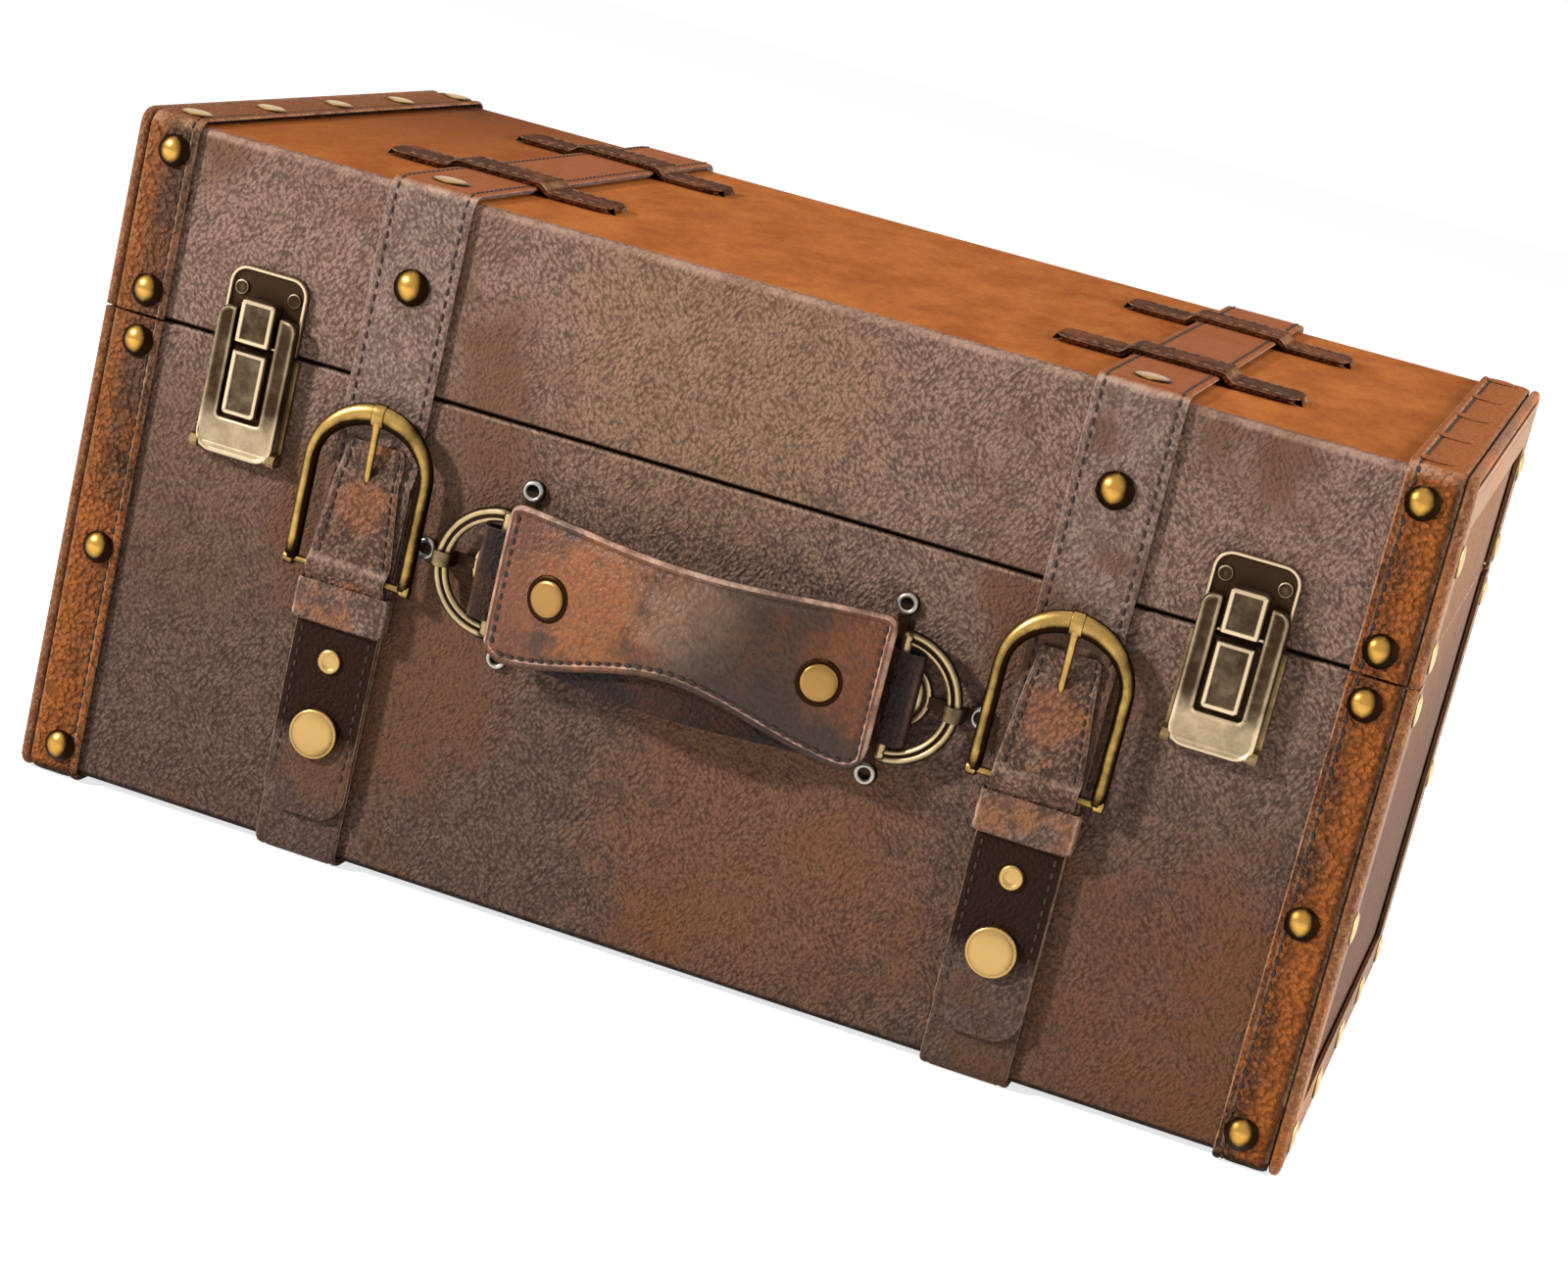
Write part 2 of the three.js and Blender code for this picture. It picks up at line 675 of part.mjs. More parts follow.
// The frame is an arch on two rails, closed by the heel bar that runs inside the flap's fold
function buckleSolid() {
  const halfOuter = buckleWidth / 2;
  const halfInner = halfOuter - buckleRailWidth;
  const archZ = buckleTopZ - halfOuter;
  const innerRise = halfOuter - buckleArchWidth;
  const outer = new THREE.Shape();
  outer.moveTo(-halfOuter, heelBarZ);
  outer.lineTo(halfOuter, heelBarZ);
  outer.lineTo(halfOuter, archZ);
  outer.absarc(0, archZ, halfOuter, 0, Math.PI);
  const inner = new THREE.Path();
  inner.moveTo(-halfInner, heelBarZ);
  inner.lineTo(-halfInner, archZ);
  inner.absellipse(0, archZ, halfInner, innerRise, Math.PI, 0, true);
  inner.lineTo(halfInner, heelBarZ);
  const near = heelBarOut - buckleDepth / 2;
  const body = new THREE.ExtrudeGeometry(outer, {
    depth: buckleDepth,
    bevelEnabled: false,
    curveSegments: roundSteps,
  });
  const openBelow = new THREE.Shape([
    new THREE.Vector2(-halfInner, heelBarZ - cutOverrun),
    ...inner.getPoints(roundSteps),
    new THREE.Vector2(halfInner, heelBarZ - cutOverrun),
  ]);
  const hoop = solid(body.rotateX(Math.PI / 2).translate(0, -near, 0))
    .subtract(frontPlate(openBelow, 0, cutOverrun));
  const footRadius = buckleDepth / 2;
  const railFeet = [-1, 1].map((side) => barAlongX(
    footRadius,
    side < 0 ? -halfOuter : halfInner,
    side < 0 ? -halfInner : halfOuter,
    heelBarOut,
    heelBarZ,
    smallSteps));
  const heelBar = barAlongX(heelBarRadius, -halfOuter, halfOuter, heelBarOut, heelBarZ, smallSteps);
  const prongBottom = tongueHoleZ - prongWidth / 2;
  const prongTop = buckleTopZ - buckleArchWidth / 2;
  const prong = block(
    [-prongWidth / 2, prongWidth / 2],
    [-(heelBarOut + prongThickness / 2), -(heelBarOut - prongThickness / 2)],
    [prongBottom, prongTop]);
  return join(hoop, ...railFeet, heelBar, prong);
}

function buildFlaps() {
  for (const [word, side] of [['left', -1], ['right', 1]]) {
    const flap = new THREE.Group();
    flap.position.set(side * strapX, frontY, 0);
    suitcase.add(flap);
    addPiece(flap, `flap_${word}`, flapLeatherSolid(), flapLeather);
    addPiece(flap, `flap_keeper_${word}`, keeperSolid(), strapLeather);
    addPiece(flap, `snap_cap_${word}`, snapCapSolid(), antiqueBrass);
    addPiece(flap, `buckle_${word}`, buckleSolid(), antiqueBrass);
  }
}

// Latch pieces are drawn with the seam at height zero
function strikePlateSolid() {
  const half = latchWidth / 2;
  const near = fitGap;
  const far = fitGap + latchPlateThickness;
  const outline = roundedRectangle(-half, half, seamGap, strikeTop, 0, strikeCornerRadius);
  const catchBottom = catchSeamRise;
  const catchBlock = block(
    [-catchWidth / 2, catchWidth / 2],
    [-(far + catchDepth), -near],
    [catchBottom + seamGap / 2, catchBottom + catchHeight]);
  const screw = domedHead(
    latchScrewRadius, latchScrewHeight, latchScrewHeight / 2, latchPlateThickness / 2, smallSteps);
  const screws = [-strikeScrewX, strikeScrewX].map((x) => placedHead(
    screw, new THREE.Vector3(x, -far, strikeScrewZ), new THREE.Vector3(0, -1, 0)));
  return join(frontPlate(outline, near, far), catchBlock, ...screws);
}

const leverBackOut = fitGap + latchPlateThickness + fitGap;
const leverPinOut = leverBackOut + knuckleRadius;
const leverPinZ = -latchBottom + knuckleRadius;
const leverFrontOut = leverBackOut + leverThickness;
const lugOuterX = latchWidth / 2;
const lugInnerX = lugOuterX - leverLugWidth;
const leverBarrelX = lugInnerX - fitGap;

function latchBaseSolid() {
  const near = fitGap;
  const far = fitGap + latchPlateThickness;
  const half = latchWidth / 2;
  const plate = block([-half, half], [-far, -near], [-latchBottom, -seamGap]);
  const lugRadius = knuckleRadius - fitGap / 2;
  const lugs = [-1, 1].map((side) => {
    const span = [side * lugInnerX, side * lugOuterX].sort((a, b) => a - b);
    const eye = barAlongX(lugRadius, ...span, leverPinOut, leverPinZ, smallSteps);
    const root = block(span, [-leverPinOut, -near], [leverPinZ - lugRadius, leverPinZ + lugRadius]);
    return eye.add(root);
  });
  const bore = barAlongX(leverPinRadius + fitGap, -half * 2, half * 2, leverPinOut, leverPinZ, smallSteps);
  return join(plate, ...lugs).subtract(bore);
}

// The lever is a bezel with an open-topped window, and a block that fills the window's foot
function leverSolid() {
  const half = latchWidth / 2;
  const backOut = leverBackOut + fitGap / 2;
  const kneeZ = leverPinZ + knuckleRadius;
  const outline = roundedRectangle(-half, half, leverPinZ, leverTop, 0, leverCornerRadius);
  const bevelled = new THREE.ExtrudeGeometry(outline, {
    depth: leverFrontOut - backOut - leverBevel,
    bevelThickness: leverBevel,
    bevelSize: leverBevel,
    bevelOffset: -leverBevel,
    bevelSegments: 1,
    curveSegments: cornerSteps,
  });
  const bezel = solid(bevelled.rotateX(Math.PI / 2).translate(0, -backOut, 0))
    .intersect(block([-half, half], [-leverFrontOut, -backOut], [leverPinZ, leverTop]));
  const windowHalf = leverWindowWidth / 2;
  const window = block(
    [-windowHalf, windowHalf], [-cutOverrun, 0], [-leverWindowBottom, leverTop + cutOverrun]);
  const lugRoom = [-1, 1].map((side) => block(
    [side * leverBarrelX, side * cutOverrun].sort((a, b) => a - b),
    [-cutOverrun, 0],
    [leverPinZ - cutOverrun, kneeZ + fitGap]));
  const web = block(
    [-windowHalf - fitGap, windowHalf + fitGap],
    [-(backOut + leverWebThickness), -backOut],
    [-leverWindowBottom - fitGap, -seamGap]);
  const lowerBlock = block(
    [-catchWidth / 2, catchWidth / 2],
    [-(leverFrontOut - leverWebThickness + leverBlockDepth / 2), -(backOut + leverWebThickness / 2)],
    [-seamGap - leverBlockHeight, -seamGap]);
  const barrel = barAlongX(
    knuckleRadius, -leverBarrelX, leverBarrelX, leverPinOut, leverPinZ, roundSteps);
  const bore = barAlongX(leverPinRadius + fitGap, -half * 2, half * 2, leverPinOut, leverPinZ, smallSteps);
  return bezel
    .subtract(join(window, ...lugRoom))
    .add(web)
    .add(lowerBlock)
    .add(barrel)
    .subtract(bore);
}

function buildLatches() {
  for (const [word, side] of [['left', -1], ['right', 1]]) {
    const latch = new THREE.Group();
    latch.position.set(side * latchX, frontY, seamZ);
    suitcase.add(latch);
    addPiece(latch, `latch_strike_${word}`, strikePlateSolid(), agedBronze);
    addPiece(latch, `latch_base_${word}`, latchBaseSolid(), agedBronze);
    addPiece(latch, `latch_lever_${word}`, leverSolid(), agedBronze);
    const pin = barAlongX(
      leverPinRadius, -lugOuterX, lugOuterX, leverPinOut, leverPinZ, smallSteps);
    addPiece(latch, `latch_pin_${word}`, pin, steel);
  }
}

// How far the grip bows out of its ends at a distance along it
function gripBowAt(x) {
  const reach = Math.min(Math.abs(x), gripBowHalfLength);
  return gripBow * (1 + Math.cos(Math.PI * reach / gripBowHalfLength)) / 2;
}

// A bowed strip seen from above, from one distance out to another
function bowedStrip(halfLength, near, far) {
  const xs = Array.from({ length: bowSteps + 1 }, (_, k) => halfLength * (2 * k / bowSteps - 1));
  const inner = xs.map((x) => [x, -(near + gripBowAt(x))]);
  const outer = xs.map((x) => [x, -(far + gripBowAt(x))]).reverse();
  return polygon([...inner, ...outer]);
}

function loopOutline(left, right, halfHeight, out) {
  const outline = new THREE.Shape();
  outline.absarc(right - halfHeight, -out, halfHeight, -Math.PI / 2, Math.PI / 2);
  outline.absarc(left + halfHeight, -out, halfHeight, Math.PI / 2, Math.PI * 1.5);
  return outline;
}

const gripFace = ringLift + gripStrapThickness;
const padNear = gripFace + fitGap;
const padFar = padNear + padThickness;
const rivetSeatOut = padFar + gripBowAt(rivetX) - rivetSeatDepth;
const rivetTailSeatOut = ringLift + gripBowAt(rivetX) + rivetSeatDepth;

function rivetPlaces(shape) {
  return [-1, 1].map((side) => shape(side * rivetX));
}

function gripStrapSolid() {
  const slotHalf = ringWireRadius + ringLoopSlack;
  const loopHalf = slotHalf + ringLoopWall;
  const slotLeft = ringBarX - slotHalf;
  const slotRight = ringBarX + slotHalf + ringBarTravel;
  const stripHalf = slotLeft - ringLoopWall / 2;
  const strip = plan(bowedStrip(stripHalf, ringLift, gripFace), -gripStrapBottom, gripStrapTop);
  const neckX = slotLeft - ringLoopWall;
  const neckHalf = ringLoopHeight / 2;
  const outline = polygon([
    [-stripHalf, -neckHalf],
    [-neckX + ringLoopHeight / 2, -gripStrapBottom],
    [neckX - ringLoopHeight / 2, -gripStrapBottom],
    [stripHalf, -neckHalf],
    [stripHalf, neckHalf],
    [neckX - ringLoopHeight / 2, gripStrapTop],
    [-neckX + ringLoopHeight / 2, gripStrapTop],
    [-stripHalf, neckHalf],
  ]);
  const loops = [-1, 1].map((side) => {
    const [outerA, outerB] = [side * (slotLeft - ringLoopWall), side * (slotRight + ringLoopWall)];
    const [innerA, innerB] = [side * slotLeft, side * slotRight];
    const ends = [Math.min(outerA, outerB), Math.max(outerA, outerB)];
    const slot = [Math.min(innerA, innerB), Math.max(innerA, innerB)];
    return plan(loopOutline(...ends, loopHalf, ringLift), -neckHalf, neckHalf)
      .subtract(plan(loopOutline(...slot, slotHalf, ringLift), -cutOverrun * 2, cutOverrun * 2));
  });
  const holes = rivetPlaces((x) => pinOut(rivetShankRadius + fitGap, 0, cutOverrun * 2, x, 0, smallSteps));
  const seats = rivetPlaces((x) => pinOut(
    rivetTailRadius + fitGap, 0, rivetTailSeatOut, x, 0, roundSteps));
  return strip
    .intersect(frontPlate(outline, 0, cutOverrun * 2))
    .add(join(...loops))
    .subtract(join(...holes, ...seats));
}

// The pad's top edge dips a little, and its bottom edge is hollowed for the fingers
function padOutline() {
  const outline = new THREE.Shape();
  const x = padHalfLength;
  const z = padHalfHeight;
  const r = padCornerRadius;
  const topR = padTopCornerRadius;
  outline.moveTo(-x + r, -z);
  outline.bezierCurveTo(-x / 2, -z, -x / 2, -z + padBottomDip, 0, -z + padBottomDip);
  outline.bezierCurveTo(x / 2, -z + padBottomDip, x / 2, -z, x - r, -z);
  outline.absarc(x - r, -z + r, r, -Math.PI / 2, 0);
  outline.lineTo(x, z - topR);
  outline.absarc(x - topR, z - topR, topR, 0, Math.PI / 2);
  outline.quadraticCurveTo(0, z - padTopDip * 2, -x + topR, z);
  outline.absarc(-x + topR, z - topR, topR, Math.PI / 2, Math.PI);
  outline.lineTo(-x, -z + r);
  outline.absarc(-x + r, -z + r, r, Math.PI, Math.PI * 1.5);
  return outline;
}

function padSolid() {
  const reach = padHalfHeight + cutOverrun;
  const holes = rivetPlaces((x) => pinOut(rivetShankRadius + fitGap, 0, cutOverrun * 2, x, 0, smallSteps));
  const seats = rivetPlaces((x) => pinOut(
    rivetRingRadius + fitGap, rivetSeatOut, cutOverrun * 2, x, 0, roundSteps));
  return plan(bowedStrip(padHalfLength, padNear, padFar), -reach, reach)
    .intersect(frontPlate(padOutline(), 0, cutOverrun * 2))
    .subtract(join(...holes, ...seats));
}

function rivetSolid() {
  const ringOut = rivetSeatOut + fitGap;
  const headOut = ringOut + rivetRingHeight;
  const tailOut = rivetTailSeatOut - fitGap;
  const ring = pinOut(rivetRingRadius, ringOut, headOut, 0, 0, roundSteps);
  const head = domedHead(
    rivetHeadRadius, rivetHeadHeight, rivetHeadHeight / 2, rivetRingHeight / 2, roundSteps);
  const shank = pinOut(rivetShankRadius, tailOut - rivetRingHeight, headOut, 0, 0, smallSteps);
  const tail = pinOut(rivetTailRadius, tailOut - rivetRingHeight, tailOut, 0, 0, smallSteps);
  const placed = placedHead(head, new THREE.Vector3(0, -headOut, 0), new THREE.Vector3(0, -1, 0));
  return join(ring, placed, shank, tail);
}

// A D-shaped ring: a straight bar inside the grip's loop, and a half round held by the clip
function ringSolid() {
  const bar = new THREE.CylinderGeometry(
    ringWireRadius, ringWireRadius, ringBarHalfHeight * 2, ringSides);
  const section = circle(0, 0, ringWireRadius);
  const arc = new THREE.CatmullRomCurve3(Array.from({ length: ringSteps + 1 }, (_, k) => {
    const angle = Math.PI * (k / ringSteps - 1 / 2);
    const x = ringBarX + (ringPostX - ringBarX) * Math.cos(angle);
    return new THREE.Vector3(x, -ringLift, ringBendRadius * Math.sin(angle));
  }));
  const bend = new THREE.ExtrudeGeometry(section, {
    steps: ringSteps,
    extrudePath: arc,
    curveSegments: ringSides / 2,
    bevelEnabled: false,
  });
  return solid(bar.rotateX(Math.PI / 2).translate(ringBarX, -ringLift, 0)).add(solid(bend));
}

// A fixed plate with three screwed ears, a low boss and a clip round the ring's far side
function ringPlateSolid() {
  const near = fitGap;
  const far = fitGap + ringPlateThickness;
  const armHalf = ringPlateArmWidth / 2;
  const disc = pinOut(bossRadius, near, far, ringBarX, 0, roundSteps);
  const boss = pinOut(bossRadius - armHalf, near, fitGap + bossHeight, ringBarX, 0, roundSteps);
  const upright = block([earX - armHalf, earX + armHalf], [-far, -near], [-earHalfSpan, earHalfSpan]);
  const outrigger = block([ringBarX, outerEarX], [-far, -near], [-armHalf, armHalf]);
  const ears = [[earX, earHalfSpan], [earX, -earHalfSpan], [outerEarX, 0]];
  const lobes = ears.map(([x, z]) => pinOut(earRadius, near, far, x, z, roundSteps));
  const screw = domedHead(
    earScrewRadius, earScrewHeight, earScrewHeight / 2, ringPlateThickness / 2, smallSteps);
  const screws = ears.map(([x, z]) => placedHead(
    screw, new THREE.Vector3(x, -far, z), new THREE.Vector3(0, -1, 0)));
  const eye = ringWireRadius + clipSlack;
  const clipHalf = eye + clipWall;
  const clipTop = ringLift + clipHalf;
  const clip = block(
    [ringPostX - clipHalf, ringPostX + clipHalf], [-clipTop, -near], [-clipWidth / 2, clipWidth / 2]);
  const passage = block(
    [ringPostX - eye, ringPostX + eye],
    [-(ringLift + eye), -(ringLift - eye)],
    [-clipWidth, clipWidth]);
  return join(disc, boss, upright, outrigger, ...lobes, ...screws, clip).subtract(passage);
}

function buildHandle() {
  const handle = new THREE.Group();
  handle.position.set(0, frontY, handleZ);
  suitcase.add(handle);
  addPiece(handle, 'handle_pad', padSolid(), gripLeather);
  addPiece(handle, 'handle_strap', gripStrapSolid(), darkLeather);
  for (const [word, side] of [['left', -1], ['right', 1]]) {
    addPiece(handle, `handle_rivet_${word}`, rivetSolid().translate(side * rivetX, 0, 0), antiqueBrass);
    const half = new THREE.Group();
    half.rotation.y = side < 0 ? Math.PI : 0;
    handle.add(half);
    addPiece(half, `handle_ring_${word}`, ringSolid(), agedBronze);
    addPiece(half, `ring_plate_${word}`, ringPlateSolid(), agedBronze);
  }
}

// Back hinges are drawn facing the front and then turned round
function leafSolid(upper) {
  const near = fitGap;
  const far = fitGap + hingeLeafThickness;
  const half = hingeLength / 2;
  const middle = hingeMiddleLength / 2;
  const sign = upper ? 1 : -1;
  const leafSpan = [sign * seamGap / 2, sign * hingeLeafHeight].sort((a, b) => a - b);
  const plate = block([-half, half], [-far, -near], leafSpan);
  const clearRadius = hingeKnuckleRadius + fitGap;
  const ownSpans = upper
    ? [[-middle + fitGap, middle - fitGap]]
    : [[-half, -middle], [middle, half]];
  const otherSpans = upper
    ? [[-half - cutOverrun, -middle + fitGap], [middle - fitGap, half + cutOverrun]]
    : [[-middle, middle]];
  const notchSpan = [-sign * cutOverrun, sign * clearRadius].sort((a, b) => a - b);
  const notches = otherSpans.map((span) => block(span, [-cutOverrun, 0], notchSpan));
  const knuckles = ownSpans.map((span) => barAlongX(
    hingeKnuckleRadius, ...span, hingeAxisOut, 0, smallSteps));
  const webs = ownSpans.map((span) => block(
    span, [-hingeAxisOut, -near], [sign * seamGap / 2, sign * hingeKnuckleRadius].sort((a, b) => a - b)));
  const screw = domedHead(
    hingeScrewRadius, hingeScrewHeight, hingeScrewHeight / 2, hingeLeafThickness / 2, smallSteps);
  const screws = [-hingeScrewX, hingeScrewX].map((x) => placedHead(
    screw, new THREE.Vector3(x, -far, sign * hingeScrewZ), new THREE.Vector3(0, -1, 0)));
  const bore = barAlongX(hingePinRadius + fitGap, -half * 2, half * 2, hingeAxisOut, 0, smallSteps);
  return plate.subtract(join(...notches)).add(join(...knuckles, ...webs, ...screws)).subtract(bore);
}

function buildHinges() {
  for (const [word, side] of [['left', -1], ['right', 1]]) {
    const hinge = new THREE.Group();
    hinge.position.set(side * hingeX, backY, seamZ);
    hinge.rotation.z = Math.PI;
    suitcase.add(hinge);
    addPiece(hinge, `hinge_lid_leaf_${word}`, leafSolid(true), agedBronze);
    addPiece(hinge, `hinge_base_leaf_${word}`, leafSolid(false), agedBronze);
    const pin = barAlongX(hingePinRadius, -hingeLength / 2, hingeLength / 2, hingeAxisOut, 0, smallSteps);
    addPiece(hinge, `hinge_pin_${word}`, pin, steel);
  }
}

buildBaseBox();
buildLidBox();
buildBands();
buildStraps();
buildCrossLoops();
buildFlaps();
buildLatches();
buildHandle();
buildHinges();

// The origin is the middle of the underside of the box round the whole object
suitcase.updateMatrixWorld(true);
const bounds = new THREE.Box3().setFromObject(suitcase, true);
const centre = bounds.getCenter(new THREE.Vector3());
suitcase.position.set(-centre.x, -centre.y, -bounds.min.z);

export default suitcase;
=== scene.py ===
# Suitcase-shaped keepsake box: a plywood case in leatherette, with leather straps, buckles,
# lever latches and a handle on rings. Metres, +Z up, with the front towards -Y.
import math

import bmesh
import bpy
from mathutils import Matrix, Quaternion, Vector


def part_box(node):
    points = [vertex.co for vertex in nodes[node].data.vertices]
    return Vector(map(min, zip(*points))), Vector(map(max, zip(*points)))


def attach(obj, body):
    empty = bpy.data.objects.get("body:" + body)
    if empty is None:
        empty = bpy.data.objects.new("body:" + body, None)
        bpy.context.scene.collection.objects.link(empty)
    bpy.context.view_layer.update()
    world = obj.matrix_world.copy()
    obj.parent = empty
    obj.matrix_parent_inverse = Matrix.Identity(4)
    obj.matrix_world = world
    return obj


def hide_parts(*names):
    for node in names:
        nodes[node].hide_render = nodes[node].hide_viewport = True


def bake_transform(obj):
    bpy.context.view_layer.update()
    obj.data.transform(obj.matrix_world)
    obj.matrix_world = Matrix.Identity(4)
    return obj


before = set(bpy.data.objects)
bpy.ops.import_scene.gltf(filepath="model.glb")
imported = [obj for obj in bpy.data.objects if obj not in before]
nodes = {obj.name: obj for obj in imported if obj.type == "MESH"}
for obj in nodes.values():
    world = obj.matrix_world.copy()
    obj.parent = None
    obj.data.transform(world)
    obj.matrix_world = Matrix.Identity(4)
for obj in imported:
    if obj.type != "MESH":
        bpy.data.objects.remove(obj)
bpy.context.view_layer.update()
scene = bpy.context.scene

# The stage: a plain white floor, soft lamps and the camera at the photograph's angle.
# The camera is turned about its own line of sight, so the case leans as it does there.
mm = 0.001
camera_place = Vector((222.2, -933.4, 311.5)) * mm
camera_sight = Vector((-0.2253, 0.945, -0.2371))
camera_roll = math.radians(13.69)
camera_lens = 78.9
sensor_width = 36
floor_size = 6
floor_white = 0.9
floor_glow = 0.75
sky_strength = 0.22
lamp_aim = Vector((0, 0, 80)) * mm
# Each lamp's name, place, size and power
lamps = (("Key lamp", (-1.15, -1.0, 0.8), 0.12, 23), ("Top lamp", (-0.1, 0.1, 1.35), 0.7, 4.5),
         ("Side lamp", (1.2, 0.1, 0.5), 0.6, 15))


def new_tree(owner):
    """The shader tree of a material or a world, with nothing in it."""
    owner.use_nodes = True
    owner.node_tree.nodes.clear()
    return owner.node_tree


def new_material(name):
    material = bpy.data.materials.new(name)
    return material, new_tree(material)


def add_node(tree, kind, inputs=None, **settings):
    """One shader node with its socket values, the links into it and its settings. Where an input
    is another node, its first output is meant."""
    node = tree.nodes.new("ShaderNode" + kind)
    for setting, value in settings.items():
        setattr(node, setting, value)
    for socket, value in (inputs or {}).items():
        if isinstance(value, bpy.types.Node):
            value = value.outputs[0]
        if isinstance(value, bpy.types.NodeSocket):
            tree.links.new(value, node.inputs[socket])
        else:
            node.inputs[socket].default_value = value
    return node


def srgb(code):
    """A hex colour as the linear numbers that a shader takes."""
    parts = [int(code[k:k + 2], 16) / 255 for k in (1, 3, 5)]
    linear = [p / 12.92 if p <= 0.04045 else ((p + 0.055) / 1.055) ** 2.4 for p in parts]
    return (*linear, 1)


def add_lamp(name, place, size, power):
    """A square soft lamp that faces the case."""
    light = bpy.data.lights.new(name, "AREA")
    light.shape = "SQUARE"
    light.size = size
    light.energy = power
    lamp = bpy.data.objects.new(name, light)
    lamp.location = place
    lamp.rotation_euler = (lamp_aim - Vector(place)).to_track_quat("-Z", "Y").to_euler()
    scene.collection.objects.link(lamp)


def seen_directly(tree):
    """1 for what the camera, a gloss or a glass sees, and 0 for the light that falls on things."""
    ray = add_node(tree, "LightPath")
    seen = add_node(tree, "Math", {0: ray.outputs["Is Camera Ray"],
                                   1: ray.outputs["Is Glossy Ray"]}, operation="MAXIMUM")
    return add_node(tree, "Math", {0: seen, 1: ray.outputs["Is Transmission Ray"]},
                    operation="MAXIMUM")


def make_stage():
    view = bpy.data.cameras.new("Camera")
    view.lens = camera_lens
    view.sensor_width = sensor_width
    camera = bpy.data.objects.new("Camera", view)
    camera.location = camera_place
    turned = camera_sight.to_track_quat("-Z", "Y") @ Quaternion((0, 0, 1), camera_roll)
    camera.rotation_euler = turned.to_euler()
    scene.collection.objects.link(camera)
    scene.camera = camera
    scene.view_settings.view_transform = "Standard"

    for name, place, size, power in lamps:
        add_lamp(name, place, size, power)

    world = bpy.data.worlds.new("Studio")
    scene.world = world
    sky = new_tree(world)
    strength = add_node(sky, "MapRange", {"Value": seen_directly(sky), "To Min": sky_strength,
                                          "To Max": 1})
    glow = add_node(sky, "Background", {"Color": (1, 1, 1, 1), "Strength": strength})
    add_node(sky, "OutputWorld", {"Surface": glow})

    paper, tree = new_material("White paper")
    glowing = add_node(tree, "Math", {0: seen_directly(tree), 1: floor_glow}, operation="MULTIPLY")
    own = add_node(tree, "Emission", {"Strength": glowing})
    lit = add_node(tree, "BsdfDiffuse", {"Color": (floor_white, floor_white, floor_white, 1)})
    both = add_node(tree, "AddShader", {0: own, 1: lit})
    add_node(tree, "OutputMaterial", {"Surface": both})
    ground = bmesh.new()
    bmesh.ops.create_grid(ground, x_segments=1, y_segments=1, size=floor_size / 2)
    mesh = bpy.data.meshes.new("Floor")
    ground.to_mesh(mesh)
    ground.free()
    mesh.materials.append(paper)
    floor = bpy.data.objects.new("Floor", mesh)
    scene.collection.objects.link(floor)


make_stage()

# The case's leatherette: a printed and embossed skin, grey-brown with copper rubbed into the
# creases. It is glued over the plywood base and lid, and folded in over both rims.
base_low, base_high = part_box("base_cover")
lid_low, lid_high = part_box("lid_cover")
half_width = lid_high.x
front_y = lid_low.y
back_y = lid_high.y
case_bottom = base_low.z
base_rim = base_high.z
lid_rim = lid_low.z
case_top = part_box("lid_top_sheet")[1].z
seam_z = (base_rim + lid_rim) / 2
case_centre = Vector((0, (front_y + back_y) / 2, (case_bottom + case_top) / 2))
case_edge = 3 * mm
case_edge_steps = 5
round_steps = 3
rim_edge = 1.1 * mm
cover_wall = 1 * mm
mouth_inset = 7.5 * mm
grain_lean = math.radians(35)
grain_stretch = 1.6
cell_share = 0.85
crease_share = 0.35
rest_place_name = "rest_place"
rest_way_name = "rest_way"
flat_weight = 50
sharp_turn = math.radians(35)
# How softly the band of painted shade runs out below, and how sharp its edges are
shade_band_fade = 4 * mm
shade_band_edge = 1 * mm
# The colour of the painted shade on faces that look down
downward_shade_colour = "#140c08"
# Heights over which the case's leatherette grows paler upward: painted light from above
case_top_light_heights = (50 * mm, 175 * mm)
level_share = 0.99
# Gaps under which points are taken as one, or as lying at a height
least_gap = 0.001 * mm
weld_gap = 0.01 * mm
near_gap = 0.1 * mm
sides_of_case = (("left", -1), ("right", 1))
forward = Vector((0, -1, 0))
backward = Vector((0, 1, 0))
upward = Vector((0, 0, 1))
# Spots on the front and on the ends: x, z and radius in mm, colour and share. The pale spot high on
# the lid's front is a painted highlight.
front_tone_and_highlight_spots = ((150, 20, 70, "#80502f", 0.45), (30, 40, 60, "#8c5c3c", 0.5),
               (-10, 165, 60, "#a07850", 0.4), (-145, 90, 45, "#6d4a35", 0.4))
end_spots = ((-235, 70, 130, "#6f5040", 1), (-235, 205, 130, "#976b46", 1),
             (235, 70, 130, "#6f5040", 1), (235, 205, 130, "#976b46", 1))


